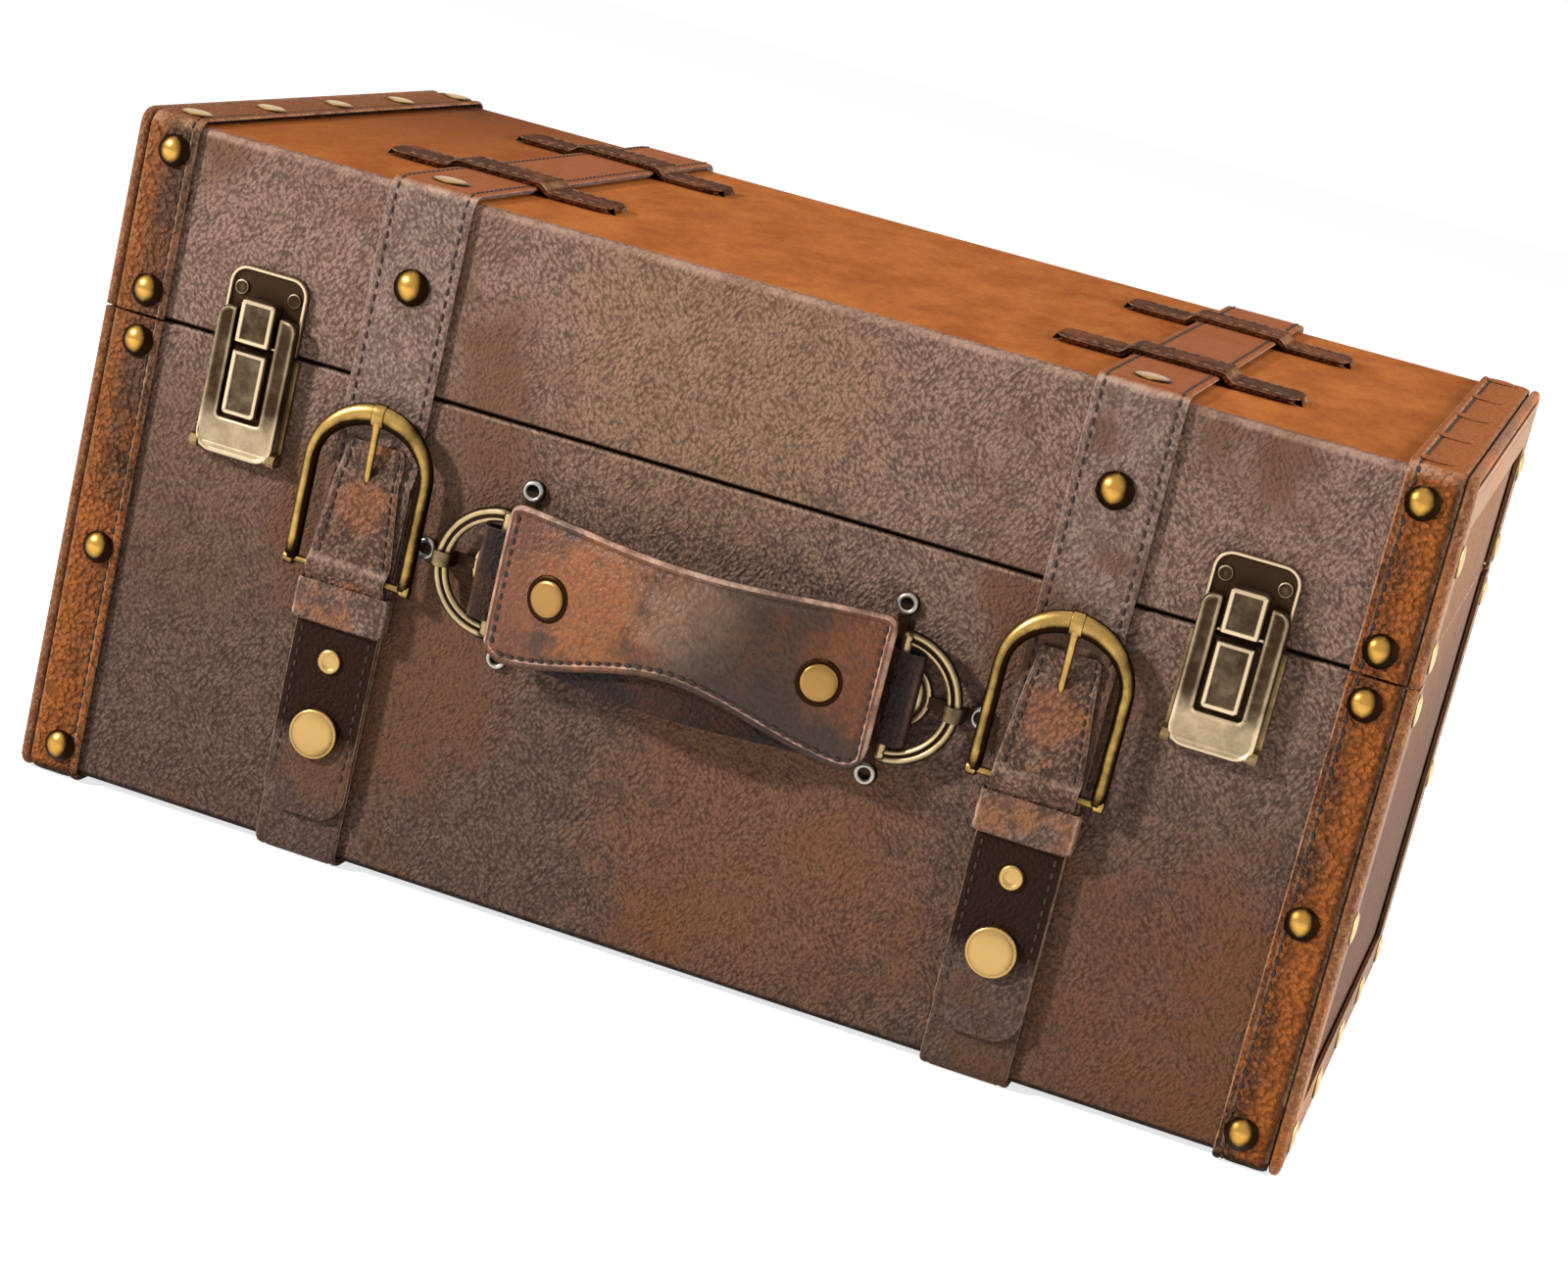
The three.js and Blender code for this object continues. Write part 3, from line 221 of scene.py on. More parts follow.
def leather(name, body, pale, valley, rubbed, edge, wrinkle=0.9 * mm, depth=0.8 * mm,
            contrast=0.65, patch=55 * mm, patch_share=(0.5, 0.64), wear_and_highlight=(0.985, 0.85), pebble=0,
            pebble_share=0, upper=None, dark_cut_edge_and_shade=None, cut_axis="X", shade_band=None, paler_up_heights=None, spots=(),
            strips=(), downward_shade=0, gloss=0.15, roughness=0.55, kept=False):
    """Embossed leather: fine wrinkles that lean one way or the other over a mottled skin, with a
    painted highlight on their pale ridges, patches where another colour is rubbed in, dark creases,
    and folded edges rubbed pale, with a painted highlight where they don't face down. Some have
    pebbles and spots of another colour, some of them painted highlight and shade, and strips of
    colour that start a way out from the middle, one of them painted shade. Faces that look up can
    take painted light from above, raw edges along an axis are dark with dye and painted shade,
    faces that look down get painted shade, the skin can grow paler upward between two heights, and
    a band between two other heights can hold painted shade. A skin that bends is kept where it was
    drawn, from the places and ways that its piece remembers."""
    material, tree = new_material(name)
    if kept:
        spot = add_node(tree, "Attribute", attribute_name=rest_place_name).outputs["Vector"]
        normal = add_node(tree, "Attribute", attribute_name=rest_way_name).outputs["Vector"]
    else:
        place = add_node(tree, "TexCoord")
        spot = place.outputs["Object"]
        normal = place.outputs["Normal"]
    leaning = []
    for lean in (grain_lean, -grain_lean * 1.2):
        turned_spot = add_node(tree, "Mapping", {"Vector": spot, "Rotation": (0, lean, 0),
                                                 "Scale": (1, 1, grain_stretch)},
                               vector_type="TEXTURE")
        leaning.append(add_node(tree, "TexVoronoi", {"Vector": turned_spot,
                                                     "Scale": cell_share / wrinkle}, feature="F1"))
    weave = add_node(tree, "TexNoise", {"Vector": spot, "Scale": 0.07 / wrinkle, "Detail": 1})
    which = add_node(tree, "MapRange", {"Value": weave, "From Min": 0.42, "From Max": 0.58})
    fine = add_node(tree, "MixRGB", {"Fac": which, "Color1": leaning[0].outputs["Distance"],
                                     "Color2": leaning[1].outputs["Distance"]})
    ragged_skin = add_node(tree, "TexNoise", {"Vector": spot, "Scale": 1.2 * cell_share / wrinkle,
                                              "Detail": 2, "Roughness": 0.6})
    uneven_skin = add_node(tree, "Math", {0: ragged_skin, 1: 0.8, 2: 0.4}, operation="MULTIPLY_ADD")
    grain = add_node(tree, "Math", {0: fine, 1: -0.6, 2: uneven_skin}, operation="MULTIPLY_ADD")
    mottle = add_node(tree, "TexNoise", {"Vector": spot, "Scale": 0.15 / wrinkle, "Detail": 4,
                                         "Roughness": 0.65})
    cloud = add_node(tree, "TexNoise", {"Vector": spot, "Scale": 1 / patch, "Detail": 3,
                                        "Roughness": 0.55})
    # Pale ridges in the grain: the skin's own tone, and a painted highlight on them.
    ridge_pale_and_highlight = add_node(tree, "MapRange", {"Value": grain, "From Min": 0.42, "From Max": 0.72,
                                       "To Max": contrast})
    blend = add_node(tree, "MapRange", {"Value": mottle, "From Min": 0.34, "From Max": 0.66,
                                        "To Min": -0.15, "To Max": 0.25})
    paler = add_node(tree, "Math", {0: ridge_pale_and_highlight, 1: blend}, operation="ADD", use_clamp=True)
    height = add_node(tree, "SeparateXYZ", {0: spot})
    # The skin grows paler upward between two heights; on the case this is painted light from above.
    if paler_up_heights:
        paler_up = add_node(tree, "MapRange", {"Value": height.outputs["Z"], "From Min": paler_up_heights[0],
                                           "From Max": paler_up_heights[1], "To Min": 0.06, "To Max": 0.36},
                        interpolation_type="SMOOTHSTEP")
        sharper = add_node(tree, "Math", {0: paler_up, 1: 1.9, 2: 0.3}, operation="MULTIPLY_ADD")
        paler = add_node(tree, "Math", {0: paler, 1: sharper, 2: paler_up}, operation="MULTIPLY_ADD",
                         use_clamp=True)
    skin = add_node(tree, "MixRGB", {"Fac": paler, "Color1": srgb(body), "Color2": srgb(pale)})
    patches = add_node(tree, "MapRange", {"Value": cloud, "From Min": patch_share[0],
                                          "From Max": patch_share[1]},
                       interpolation_type="SMOOTHSTEP")
    rubs = add_node(tree, "MapRange", {"Value": grain, "From Min": 0.36, "From Max": 0.64,
                                       "To Min": 0.5, "To Max": 0.95})
    copper = add_node(tree, "Math", {0: patches, 1: rubs}, operation="MULTIPLY")
    layers = [(copper, rubbed)]
    for centre, radius, colour, share in spots:
        away = add_node(tree, "VectorMath", {0: spot, 1: centre}, operation="DISTANCE")
        ragged = add_node(tree, "Math", {0: mottle, 1: -radius, 2: away.outputs["Value"]},
                          operation="MULTIPLY_ADD")
        near = add_node(tree, "MapRange", {"Value": ragged, "From Min": radius * 0.5, "From Max": 0,
                                           "To Max": share}, interpolation_type="SMOOTHSTEP")
        flecked = add_node(tree, "Math", {0: near, 1: rubs}, operation="MULTIPLY")
        layers.append((flecked, colour))
    out_from_middle = add_node(tree, "Math", {0: height.outputs["X"]}, operation="ABSOLUTE")
    for start, end, colour, share in strips:
        strip = add_node(tree, "MapRange", {"Value": out_from_middle, "From Min": start,
                                            "From Max": end, "To Max": share},
                         interpolation_type="SMOOTHSTEP")
        layers.append((strip, colour))
    crease = add_node(tree, "MapRange", {"Value": grain, "From Min": 0.44, "From Max": 0.26,
                                         "To Max": contrast * crease_share})
    layers.append((crease, valley))
    relief = grain
    if pebble:
        warped = add_node(tree, "VectorMath", {0: mottle.outputs["Color"],
                                               1: (pebble, pebble, pebble), 2: spot},
                          operation="MULTIPLY_ADD")
        cells = add_node(tree, "TexVoronoi", {"Vector": warped, "Scale": 1 / pebble,
                                              "Smoothness": 0.35}, feature="SMOOTH_F1")
        sunk = add_node(tree, "MapRange", {"Value": cells.outputs["Distance"], "From Min": 0.3,
                                           "From Max": 0.8, "To Max": pebble_share},
                        interpolation_type="SMOOTHSTEP")
        layers.append((sunk, valley))
        relief = add_node(tree, "Math", {0: sunk, 1: -2, 2: grain}, operation="MULTIPLY_ADD")
    facing = add_node(tree, "SeparateXYZ", {0: normal})
    # Faces that look up take another colour: painted light from above.
    if upper:
        above = add_node(tree, "MapRange", {"Value": facing.outputs["Z"], "From Min": 0.6,
                                            "From Max": 0.9, "To Max": 0.85})
        layers.append((above, upper))
    # A band of painted shade between two heights, only in front of a depth: on the flap, the shade
    # from the keeper down to the snap cap.
    if shade_band:
        low, high, in_front, colour = shade_band
        lower = add_node(tree, "MapRange", {"Value": height.outputs["Z"],
                                            "From Min": low - shade_band_fade,
                                            "From Max": low + shade_band_edge})
        higher = add_node(tree, "MapRange", {"Value": height.outputs["Z"],
                                             "From Min": high + shade_band_edge,
                                             "From Max": high - shade_band_edge, "To Max": 0.92})
        ahead = add_node(tree, "Math", {0: height.outputs["Y"], 1: in_front}, operation="LESS_THAN")
        tall = add_node(tree, "Math", {0: lower, 1: higher}, operation="MULTIPLY")
        between = add_node(tree, "Math", {0: tall, 1: ahead}, operation="MULTIPLY")
        layers.append((between, colour))
    either_way = add_node(tree, "VectorMath", {0: normal}, operation="ABSOLUTE")
    turn = add_node(tree, "SeparateXYZ", {0: either_way})
    flat = add_node(tree, "Math", {0: turn.outputs["X"], 1: turn.outputs["Y"]}, operation="MAXIMUM")
    flatter = add_node(tree, "Math", {0: flat, 1: turn.outputs["Z"]}, operation="MAXIMUM")
    fold = add_node(tree, "MapRange", {"Value": flatter, "From Min": wear_and_highlight[0], "From Max": wear_and_highlight[1]})
    shaded = add_node(tree, "MapRange", {"Value": facing.outputs["Z"], "From Min": -0.35,
                                         "From Max": -0.1})
    # Faces that look down get painted shade, the lid's lower rim among them.
    downward_shade_share = add_node(tree, "MapRange", {"Value": facing.outputs["Z"], "From Min": -0.2,
                                        "From Max": -0.6, "To Max": downward_shade})
    layers.append((downward_shade_share, downward_shade_colour))
    # Folded edges that don't face down turn pale: rubbed leather, and a painted highlight where the
    # edge catches the light.
    rubbed_off = add_node(tree, "MapRange", {"Value": mottle, "From Min": 0.4, "From Max": 0.6,
                                             "To Min": 0.25, "To Max": 0.85})
    worn_lit_edge = add_node(tree, "Math", {0: fold, 1: shaded}, operation="MULTIPLY")
    worn_lit_edge_share = add_node(tree, "Math", {0: worn_lit_edge, 1: rubbed_off}, operation="MULTIPLY")
    layers.append((worn_lit_edge_share, edge))
    # Raw edges that face along an axis turn near-black: dye, and painted shade standing in for the
    # shadow beside them.
    if dark_cut_edge_and_shade:
        sideways = add_node(tree, "MapRange", {"Value": turn.outputs[cut_axis], "From Min": 0.8,
                                               "From Max": 0.95})
        layers.append((sideways, dark_cut_edge_and_shade))
    last = skin
    for share, colour in layers:
        last = add_node(tree, "MixRGB", {"Fac": share, "Color1": last, "Color2": srgb(colour)})
    bump = add_node(tree, "Bump", {"Height": relief, "Distance": depth, "Strength": 1})
    hide = add_node(tree, "BsdfPrincipled", {"Base Color": last, "Roughness": roughness,
                                             "Normal": bump, "Specular IOR Level": gloss})
    add_node(tree, "OutputMaterial", {"Surface": hide})
    return material


def spots_at(y, table, level=0):
    """Spots of colour at a depth, from a table of x, z above a level and radius, all in mm, with
    the colour and its share."""
    return [((x * mm, y, level + z * mm), radius * mm, colour, share)
            for x, z, radius, colour, share in table]


def make_piece(name, bm, body, slot, material, replaces=(), wall=0, rounding=0, even=True):
    """A mesh made into a piece of the object: it gets a wall, rounded edges and its material,
    rides on its body, and stands for the nodes that it replaces."""
    mesh = bpy.data.meshes.new(name)
    bm.to_mesh(mesh)
    bm.free()
    piece = bpy.data.objects.new(name, mesh)
    scene.collection.objects.link(piece)
    if wall:
        skin = piece.modifiers.new("Wall", "SOLIDIFY")
        skin.thickness = wall
        skin.offset = -1
        skin.use_even_offset = even
    if rounding:
        edges = piece.modifiers.new("Rounded edges", "BEVEL")
        edges.width = rounding
        edges.segments = round_steps
        edges.limit_method = "ANGLE"
        edges.angle_limit = sharp_turn
    weights = piece.modifiers.new("Flat faces stay flat", "WEIGHTED_NORMAL")
    weights.weight = flat_weight
    mesh.shade_smooth()
    bpy.context.view_layer.update()
    evaluated = piece.evaluated_get(bpy.context.evaluated_depsgraph_get())
    finished = bpy.data.meshes.new_from_object(evaluated)
    piece.modifiers.clear()
    piece.data = finished
    finished.materials.append(material)
    if body:
        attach(piece, body)
    if replaces:
        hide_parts(*replaces)
    return piece


def remember_rest(piece):
    """Keeps each corner's place and way out as drawn, so that the skin stays when it bends."""
    mesh = piece.data
    places = mesh.attributes.new(rest_place_name, "FLOAT_VECTOR", "CORNER")
    ways = mesh.attributes.new(rest_way_name, "FLOAT_VECTOR", "CORNER")
    for corner in mesh.loops:
        places.data[corner.index].vector = mesh.vertices[corner.vertex_index].co
        ways.data[corner.index].vector = mesh.corner_normals[corner.index].vector


def cut_off(bm, point, direction):
    """Removes what lies past a plane, on the side that the direction points to."""
    whole = bm.verts[:] + bm.edges[:] + bm.faces[:]
    bmesh.ops.bisect_plane(bm, geom=whole, plane_co=point, plane_no=direction, clear_outer=True)


def rounded_block(low, high, radius, segments):
    bm = bmesh.new()
    bmesh.ops.create_cube(bm, size=1)
    bmesh.ops.scale(bm, vec=high - low, verts=bm.verts)
    bmesh.ops.translate(bm, vec=(low + high) / 2, verts=bm.verts)
    if radius:
        bmesh.ops.bevel(bm, geom=bm.edges[:], offset=radius, segments=segments, profile=0.5,
                        affect="EDGES", material=-1)
    return bm


def fold_rim_in(bm, rim):
    """Folds the open rim of a cover inwards over the plywood, as far as the mouth."""
    edges = [e for e in bm.edges if e.is_boundary and abs(e.verts[0].co.z - rim) < near_gap]
    folded = bmesh.ops.extrude_edge_only(bm, edges=edges)
    mouth_x = half_width - mouth_inset
    for vertex in folded["geom"]:
        if isinstance(vertex, bmesh.types.BMVert):
            vertex.co.x = max(-mouth_x, min(mouth_x, vertex.co.x))
            vertex.co.y = max(front_y + mouth_inset, min(back_y - mouth_inset, vertex.co.y))
    bmesh.ops.remove_doubles(bm, verts=bm.verts, dist=weld_gap)
    bmesh.ops.recalc_face_normals(bm, faces=bm.faces)
    corner = [e for e in bm.edges if len(e.link_faces) == 2
              and abs(e.verts[0].co.z - rim) < near_gap
              and abs(e.verts[1].co.z - rim) < near_gap
              and e.calc_face_angle() > sharp_turn]
    bmesh.ops.bevel(bm, geom=corner, offset=rim_edge, segments=round_steps, profile=0.5,
                    affect="EDGES", material=-1)


def make_covers(leatherette):
    low = Vector((-half_width, front_y, case_bottom))
    high = Vector((half_width, back_y, case_top))
    base = rounded_block(low, high, case_edge, case_edge_steps)
    cut_off(base, (0, 0, base_rim), upward)
    fold_rim_in(base, base_rim)
    make_piece("base_leatherette", base, "base", "leatherette", leatherette, ["base_cover"],
               wall=cover_wall)
    lid = rounded_block(low, high, case_edge, case_edge_steps)
    cut_off(lid, (0, 0, lid_rim), -upward)
    top = [f for f in lid.faces if f.calc_center_median().z > case_top - near_gap
           and f.normal.z > level_share]
    bmesh.ops.inset_region(lid, faces=top, thickness=weld_gap, use_even_offset=True)
    bmesh.ops.delete(lid, geom=top, context="FACES")
    fold_rim_in(lid, lid_rim)
    make_piece("lid_leatherette", lid, "lid", "leatherette", leatherette, ["lid_cover"],
               wall=cover_wall)


# The case's leatherette grows paler upward as painted light from above, and its faces that look down
# get painted shade.
case_leather = leather(
    "Cover leatherette", body="#4d3b33", pale="#a28171", valley="#241712", rubbed="#74503a",
    edge="#b8947f", paler_up_heights=case_top_light_heights, downward_shade=0.95, gloss=0.06, roughness=0.65,
    contrast=0.85,
    spots=spots_at(front_y, front_tone_and_highlight_spots) + spots_at(case_centre.y, end_spots))
make_covers(case_leather)

# The tan sheet on the lid: suede-finish leatherette glued flat on the lid's top panel.
# Its nap is brushed, so it is cloudy rather than grained, and darker towards the back left.
suede_edge = 0.4 * mm
brushed_stretch = 2.2
suede_cloud_scale = 0.06 / mm
suede_nap_scale = 0.8 / mm
suede_nap_depth = 0.15 * mm
dark_side_start = -60 * mm
dark_side_end = -175 * mm


def suede(name, body, pale, dark):
    material, tree = new_material(name)
    place = add_node(tree, "TexCoord")
    spot = place.outputs["Object"]
    brushing = add_node(tree, "Mapping", {"Vector": spot, "Scale": (1, brushed_stretch, 1)},
                        vector_type="TEXTURE")
    cloud = add_node(tree, "TexNoise", {"Vector": brushing, "Scale": suede_cloud_scale, "Detail": 8,
                                        "Roughness": 0.75})
    nap = add_node(tree, "TexNoise", {"Vector": spot, "Scale": suede_nap_scale, "Detail": 2})
    brushed = add_node(tree, "MapRange", {"Value": cloud, "From Min": 0.38, "From Max": 0.62})
    tones = add_node(tree, "MixRGB", {"Fac": brushed, "Color1": srgb(body), "Color2": srgb(pale)})
    side = add_node(tree, "SeparateXYZ", {0: spot})
    left = add_node(tree, "MapRange", {"Value": side.outputs["X"], "From Min": dark_side_start,
                                       "From Max": dark_side_end}, interpolation_type="SMOOTHSTEP")
    back = add_node(tree, "MapRange", {"Value": side.outputs["Y"], "From Min": front_y,
                                       "From Max": back_y, "To Min": 0.15, "To Max": 1})
    # Darker towards the back left, more where the brushed cloud is high.
    shade = add_node(tree, "Math", {0: left, 1: back}, operation="MULTIPLY")
    mottled = add_node(tree, "Math", {0: shade, 1: cloud}, operation="MULTIPLY")
    stronger = add_node(tree, "Math", {0: mottled, 1: 1.7}, operation="MULTIPLY", use_clamp=True)
    darker_back_left = add_node(tree, "MixRGB", {"Fac": stronger, "Color1": tones, "Color2": srgb(dark)})
    fibres = add_node(tree, "MixRGB", {"Fac": 0.4, "Color1": darker_back_left, "Color2": nap.outputs["Color"]},
                      blend_type="OVERLAY")
    bump = add_node(tree, "Bump", {"Height": nap, "Distance": suede_nap_depth, "Strength": 0.5})
    cloth = add_node(tree, "BsdfPrincipled", {"Base Color": fibres, "Roughness": 0.8,
                                              "Normal": bump, "Specular IOR Level": 0.05})
    add_node(tree, "OutputMaterial", {"Surface": cloth})
    return material


tan_suede = suede("Tan suede", body="#98501f", pale="#b56a30", dark="#5a2f18")


def make_top_sheet():
    low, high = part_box("lid_top_sheet")
    top = rounded_block(low, high, 0, 0)
    make_piece("lid_suede", top, "lid", "top_leather", tan_suede, ["lid_top_sheet"],
               rounding=suede_edge)


make_top_sheet()

# The end bands: leather strips glued round both ends of the lid and the base, with a frame on each
# end face and a rolled bead along the corner. Their inner edge is raised over a row of stitches.
skin_gap = 0.3 * mm
band_thickness = 1.4 * mm
band_width = 16 * mm
band_frame_width = 14 * mm
band_out = skin_gap + band_thickness
bead_radius = 1.5 * mm
bead_out = 0.25 * mm
path_step = 4 * mm
turn_steps = 5
quarter = [(math.cos(a), math.sin(a)) for a in
           [math.pi / 2 * k / turn_steps for k in range(1, turn_steps)]]
bead_sides = 10
frame_seam_inset = 4.2 * mm
frame_inset = 1.2 * mm
frame_steps = [(0.9 * mm, 0.25 * mm), (0.9 * mm, -0.1 * mm)]
frame_rounding = 0.3 * mm
band_rounding = 0.25 * mm
band_seam_place = 2.65 * mm
band_seam_depth = 0.15 * mm
end_band_paler_heights = (110 * mm, 165 * mm)
band_strips = [(171 * mm, 176 * mm, "#b0662f", 0.6)]
# Strips on the right band: an orange one, and a near-black one at the outer edge that is painted
# shade in the groove beside the bead
right_band_strips_and_groove_shade = [(169 * mm, 173 * mm, "#b8672e", 0.75), (175.5 * mm, 178 * mm, "#140a06", 0.85)]
band_spots = ((-172, 150, 60, "#6a4f40", 0.9), (-172, 25, 75, "#a8602f", 0.8))
# The wrap's place across and its lift, in mm
band_profile = [(0, -0.3), (0.4, 0.2), (1.2, 0.35), (1.9, 0.2), (2.4, -0.3), (2.9, -0.3),
                (3.5, 0.05), (6, 0.15), (9, 0.1), (12, 0.15), (13.6, -0.05), (14.4, -0.5)]
thread_radius = 0.45 * mm
fine_thread_radius = 0.25 * mm
stitch_length = 2.2 * mm
stitch_pitch = 3.4 * mm
thread_fuzz_scale = 1 / mm
thread_sides = 6
thread_rings = 4


def evenly(start, end, step):
    """Values from start to end, no further apart than about a step."""
    count = max(1, round(abs(end - start) / step))
    return [start + (end - start) * k / count for k in range(count + 1)]


def smooth(share):
    share = max(0, min(1, share))
    return share * share * (3 - 2 * share)


def round_the_case(out, front_end, back_end, edge_z):
    """Points up or down the front, across the top or the bottom and along the back, at a distance
    out from the skin, each with its way out."""
    sign = 1 if edge_z > seam_z else -1
    turn_z = edge_z - sign * case_edge
    turn_front = front_y + case_edge
    turn_back = back_y - case_edge
    reach = case_edge + out
    upright = Vector((0, 0, sign))

    def corner(y, first, second):
        ways = [first * c + second * s for c, s in quarter]
        return [(Vector((0, y, turn_z)) + way * reach, way) for way in ways]

    path = [(Vector((0, front_y - out, z)), forward) for z in evenly(front_end, turn_z, path_step)]
    path += corner(turn_front, forward, upright)
    path += [(Vector((0, y, edge_z + sign * out)), upright)
             for y in evenly(turn_front, turn_back, path_step)]
    path += corner(turn_back, upright, backward)
    path += [(Vector((0, back_y + out, z)), backward) for z in evenly(turn_z, back_end, path_step)]
    return path


def sheet(columns, rows, place):
    """A sheet of quads whose points are placed by their column and row."""
    bm = bmesh.new()
    bmesh.ops.create_grid(bm, x_segments=columns - 1, y_segments=rows - 1, size=0.5)
    for vertex in bm.verts:
        column = round((vertex.co.x + 0.5) * (columns - 1))
        row = round((vertex.co.y + 0.5) * (rows - 1))
        vertex.co = place(column, row)
    return bm


def face_forward(bm):
    """Turns a sheet's faces to the front."""
    bmesh.ops.recalc_face_normals(bm, faces=bm.faces)
    if sum((face.normal.y for face in bm.faces)) > 0:
        bmesh.ops.reverse_faces(bm, faces=bm.faces)


def laid_strip(path, columns):
    """A sheet laid along a path: each column has its place across the path and its lift from it."""
    def place(column, row):
        point, way = path[row]
        x, lift = columns[column]
        return point + way * lift + Vector((x, 0, 0))
    bm = sheet(len(columns), len(path), place)
    bm.faces.ensure_lookup_table()
    bm.normal_update()
    if bm.faces[0].normal.dot(path[0][1]) < 0:
        bmesh.ops.reverse_faces(bm, faces=bm.faces)
    return bm


def sweep(frames, section, closed=False):
    """A solid swept through frames. A frame is a place and the two directions, with their sizes,
    in which the section's pairs are laid."""
    def place(column, row):
        centre, across, outward = frames[row % len(frames)]
        a, b = section[column % len(section)]
        return centre + across * a + outward * b
    bm = sheet(len(section) + 1, len(frames) + 1 if closed else len(frames), place)
    bmesh.ops.remove_doubles(bm, verts=bm.verts, dist=least_gap)
    ends = [e for e in bm.edges if e.is_boundary]
    if ends:
        bmesh.ops.holes_fill(bm, edges=ends)
    bmesh.ops.recalc_face_normals(bm, faces=bm.faces)
    return bm


def circle(sides, radius):
    steps = [2 * math.pi * k / sides for k in range(sides)]
    return [(math.cos(a) * radius, math.sin(a) * radius) for a in steps]


def flat_plate(outline, rise, steps, thickness, face_to=forward):
    """A plate drawn as an outline of 3-D points that face one way. Each step goes in from the edge
    and out by a rise, and the plate's sides go back by its thickness."""
    bm = bmesh.new()
    corners = [bm.verts.new(point + face_to * rise) for point in outline]
    face = bm.faces.new(corners)
    bm.normal_update()
    if face.normal.dot(face_to) < 0:
        face.normal_flip()
    rim = bm.edges[:]
    for inset, lift in steps:
        bmesh.ops.inset_region(bm, faces=[face], thickness=inset, depth=0,
                               use_boundary=True, use_even_offset=True)
        bmesh.ops.translate(bm, vec=face_to * lift, verts=face.verts[:])
    sides = bmesh.ops.extrude_edge_only(bm, edges=rim)
    moved = [v for v in sides["geom"] if isinstance(v, bmesh.types.BMVert)]
    bmesh.ops.translate(bm, vec=-face_to * thickness, verts=moved)
    bmesh.ops.holes_fill(bm, edges=[e for e in bm.edges if e.is_boundary])
    bmesh.ops.recalc_face_normals(bm, faces=bm.faces)
    return bm


def stitches(points, outward, length=stitch_length, pitch=stitch_pitch, radius=thread_radius):
    """A row of stitches along a line of points, each a short thick loop of thread."""
    bm = bmesh.new()
    walked = 0
    due = pitch / 2
    for k in range(len(points) - 1):
        step = points[k + 1] - points[k]
        while due <= walked + step.length:
            centre = points[k] + step * ((due - walked) / step.length)
            way = outward[k]
            along = step.normalized()
            across = along.cross(way)
            turn = Matrix((along * length / 2, across * radius, way * radius)).transposed()
            bmesh.ops.create_uvsphere(bm, u_segments=thread_sides, v_segments=thread_rings,
                                      radius=1, matrix=Matrix.Translation(centre)
                                      @ turn.to_4x4() @ Matrix.Rotation(math.pi / 2, 4, "Y"))
            due += pitch
        walked += step.length
    return bm


def joined(parts):
    """Several meshes made into one."""
    whole = bmesh.new()
    for part in parts:
        mesh = bpy.data.meshes.new("Part")
        part.to_mesh(mesh)
        part.free()
        whole.from_mesh(mesh)
        bpy.data.meshes.remove(mesh)
    return whole


def thread(name, colour):
    """Waxed linen thread, matt and a little lighter where it has rubbed."""
    material, tree = new_material(name)
    place = add_node(tree, "TexCoord")
    fuzz = add_node(tree, "TexNoise", {"Vector": place.outputs["Object"],
                                       "Scale": thread_fuzz_scale, "Detail": 2})
    tone = add_node(tree, "MapRange", {"Value": fuzz, "From Min": 0.3, "From Max": 0.7,
                                       "To Min": 0.6, "To Max": 1.25})
    shade = add_node(tree, "VectorMath", {0: srgb(colour)[:3], 1: tone}, operation="MULTIPLY")
    linen = add_node(tree, "BsdfPrincipled", {"Base Color": shade, "Roughness": 0.75})
    add_node(tree, "OutputMaterial", {"Surface": linen})
    return material


def band_side_frame(side, rim, edge_z):
    """The flat strip on one end face: down the front edge, along the top or bottom, up the back."""
    sign = 1 if edge_z > seam_z else -1
    x = side * (half_width + skin_gap)
    outer_front, outer_back = front_y + frame_inset, back_y - frame_inset
    outer_z = edge_z - sign * frame_inset
    inner_front, inner_back = front_y + band_frame_width, back_y - band_frame_width
    inner_z = edge_z - sign * band_frame_width
    outline = [(outer_front, rim), (outer_front, outer_z), (outer_back, outer_z), (outer_back, rim),
               (inner_back, rim), (inner_back, inner_z), (inner_front, inner_z), (inner_front, rim)]
    points = [Vector((x, y, z)) for y, z in outline]
    return flat_plate(points, band_thickness, frame_steps, band_thickness, Vector((side, 0, 0)))


